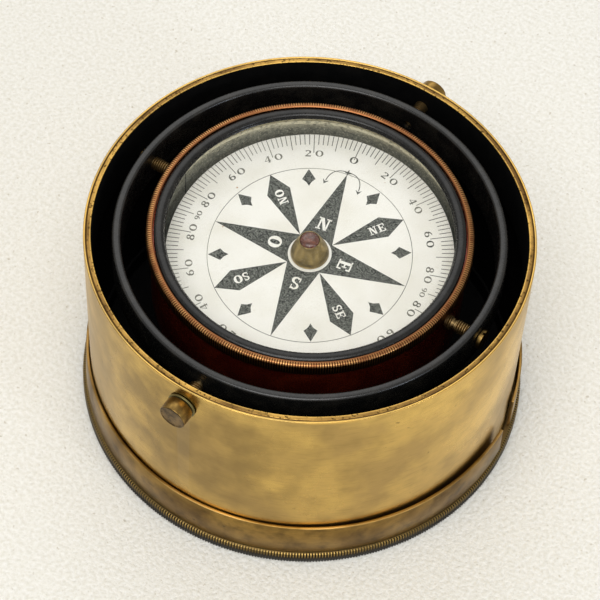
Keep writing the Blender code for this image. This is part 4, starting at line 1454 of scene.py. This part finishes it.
# %% Finish the CAD pieces
for node, finish in (
    ("case_floor", case_black),
    ("glass_washer", putty),
    ("bowl_weight", lead),
    ("pivot_pedestal", bar_brass),
    ("pivot_pin", steel),
    ("card_hub_nut", bar_brass),
    ("magnet_left", steel),
    ("magnet_right", steel),
):
    frame["nodes"][node].data.materials.clear()
    coat(frame["nodes"][node], finish)
print("CAD pieces finished")

# %% [markdown]
# A line on the inside of the bowl marks the way ahead. It is a thin upright stripe of paint on
# the wall, a short way round from one of the ring's screws. A very short bent strip follows the
# wall, as the paint does.

# %% Heading line
LINE_ANGLE = math.radians(177.5)
LINE_WIDTH = math.radians(0.4)
LINE_PAINT = 0.05 * MM
LINE_BOTTOM, LINE_TOP = PIVOT - 13.5 * MM, PIVOT + 1.5 * MM
line_sizes = (bowl_inner - LINE_PAINT, LINE_PAINT, LINE_BOTTOM, LINE_TOP, LINE_WIDTH)
heading = bent_strip("heading_line", *line_sizes, LINE_ANGLE, 4)
coat(heading, case_black)
seat(heading, "bowl_body", "black_lacquer")
print("heading line at", round(math.degrees(LINE_ANGLE), 1), "degrees")

# %% [markdown]
# ## Floor and light
# The photograph was taken on a pale rough-plastered surface in soft light. A wide floor has its
# colour and a faint grain, with a few darker specks. A noise does for both, because the grain
# has no direction.

# %% Floor
FLOOR_SIZE, FLOOR_DROP = 8, 0.02 * MM
PLASTER_GRAIN, PLASTER_SPECK = 1.4 * MM, 1.8 * MM
plaster, tree, shader, place = new_finish("pale_plaster", 0.9)
tone = mottle(tree, linear("#f6f4ed"), "#e8e5da", place, PLASTER_GRAIN, 9.0, 0.35, 0.65)
tone = mottle(tree, tone, "#b9ae98", place, PLASTER_SPECK, 2.0, 0.66, 0.76, 0.0, 0.6)
tree.links.new(tone, shader.inputs["Base Color"])
emboss(tree, shader, place, PLASTER_GRAIN, 9.0, 0.8 * MM, 0.9)
deselect_all()
bpy.ops.mesh.primitive_plane_add(size=FLOOR_SIZE, location=(0, 0, -FLOOR_DROP))
floor = bpy.context.object
floor.name = floor.data.name = "floor"
coat(floor, plaster)
print("floor laid")

# %% [markdown]
# The world gives an even light. A large lamp in front gives the brass its broad highlights, a
# weaker one behind fills the shadows, and a small cool one on the right puts a glint on the
# rims. All three are discs that aim at the compass, as soft boxes in a studio would.

# %% World and lamps
LAMP_TARGET = Vector((0, 0, 0.05))
world = bpy.data.worlds.new("soft_room")
bpy.context.scene.world = world
world.use_nodes = True
sky = world.node_tree.nodes["Background"]
sky.inputs["Color"].default_value = linear("#f4f2ee")
sky.inputs["Strength"].default_value = 0.58


def lamp(name, stand, size, power, colour="#ffffff"):
    data = bpy.data.lights.new(name, "AREA")
    data.shape = "DISK"
    data.size = size
    data.energy = power
    data.color = linear(colour)[:3]
    made = bpy.data.objects.new(name, data)
    bpy.context.scene.collection.objects.link(made)
    made.location = stand
    aim = LAMP_TARGET - Vector(stand)
    made.rotation_euler = aim.to_track_quat("-Z", "Y").to_euler()


lamp("key_lamp", (0.2, -0.6, 1.55), 1.2, 14.5)
lamp("fill_lamp", (-0.7, 0.8, 1.3), 1.3, 5.5)
lamp("side_lamp", (1.3, -0.25, 0.75), 0.3, 3.2, "#dbe7f7")
print("lamps lit")
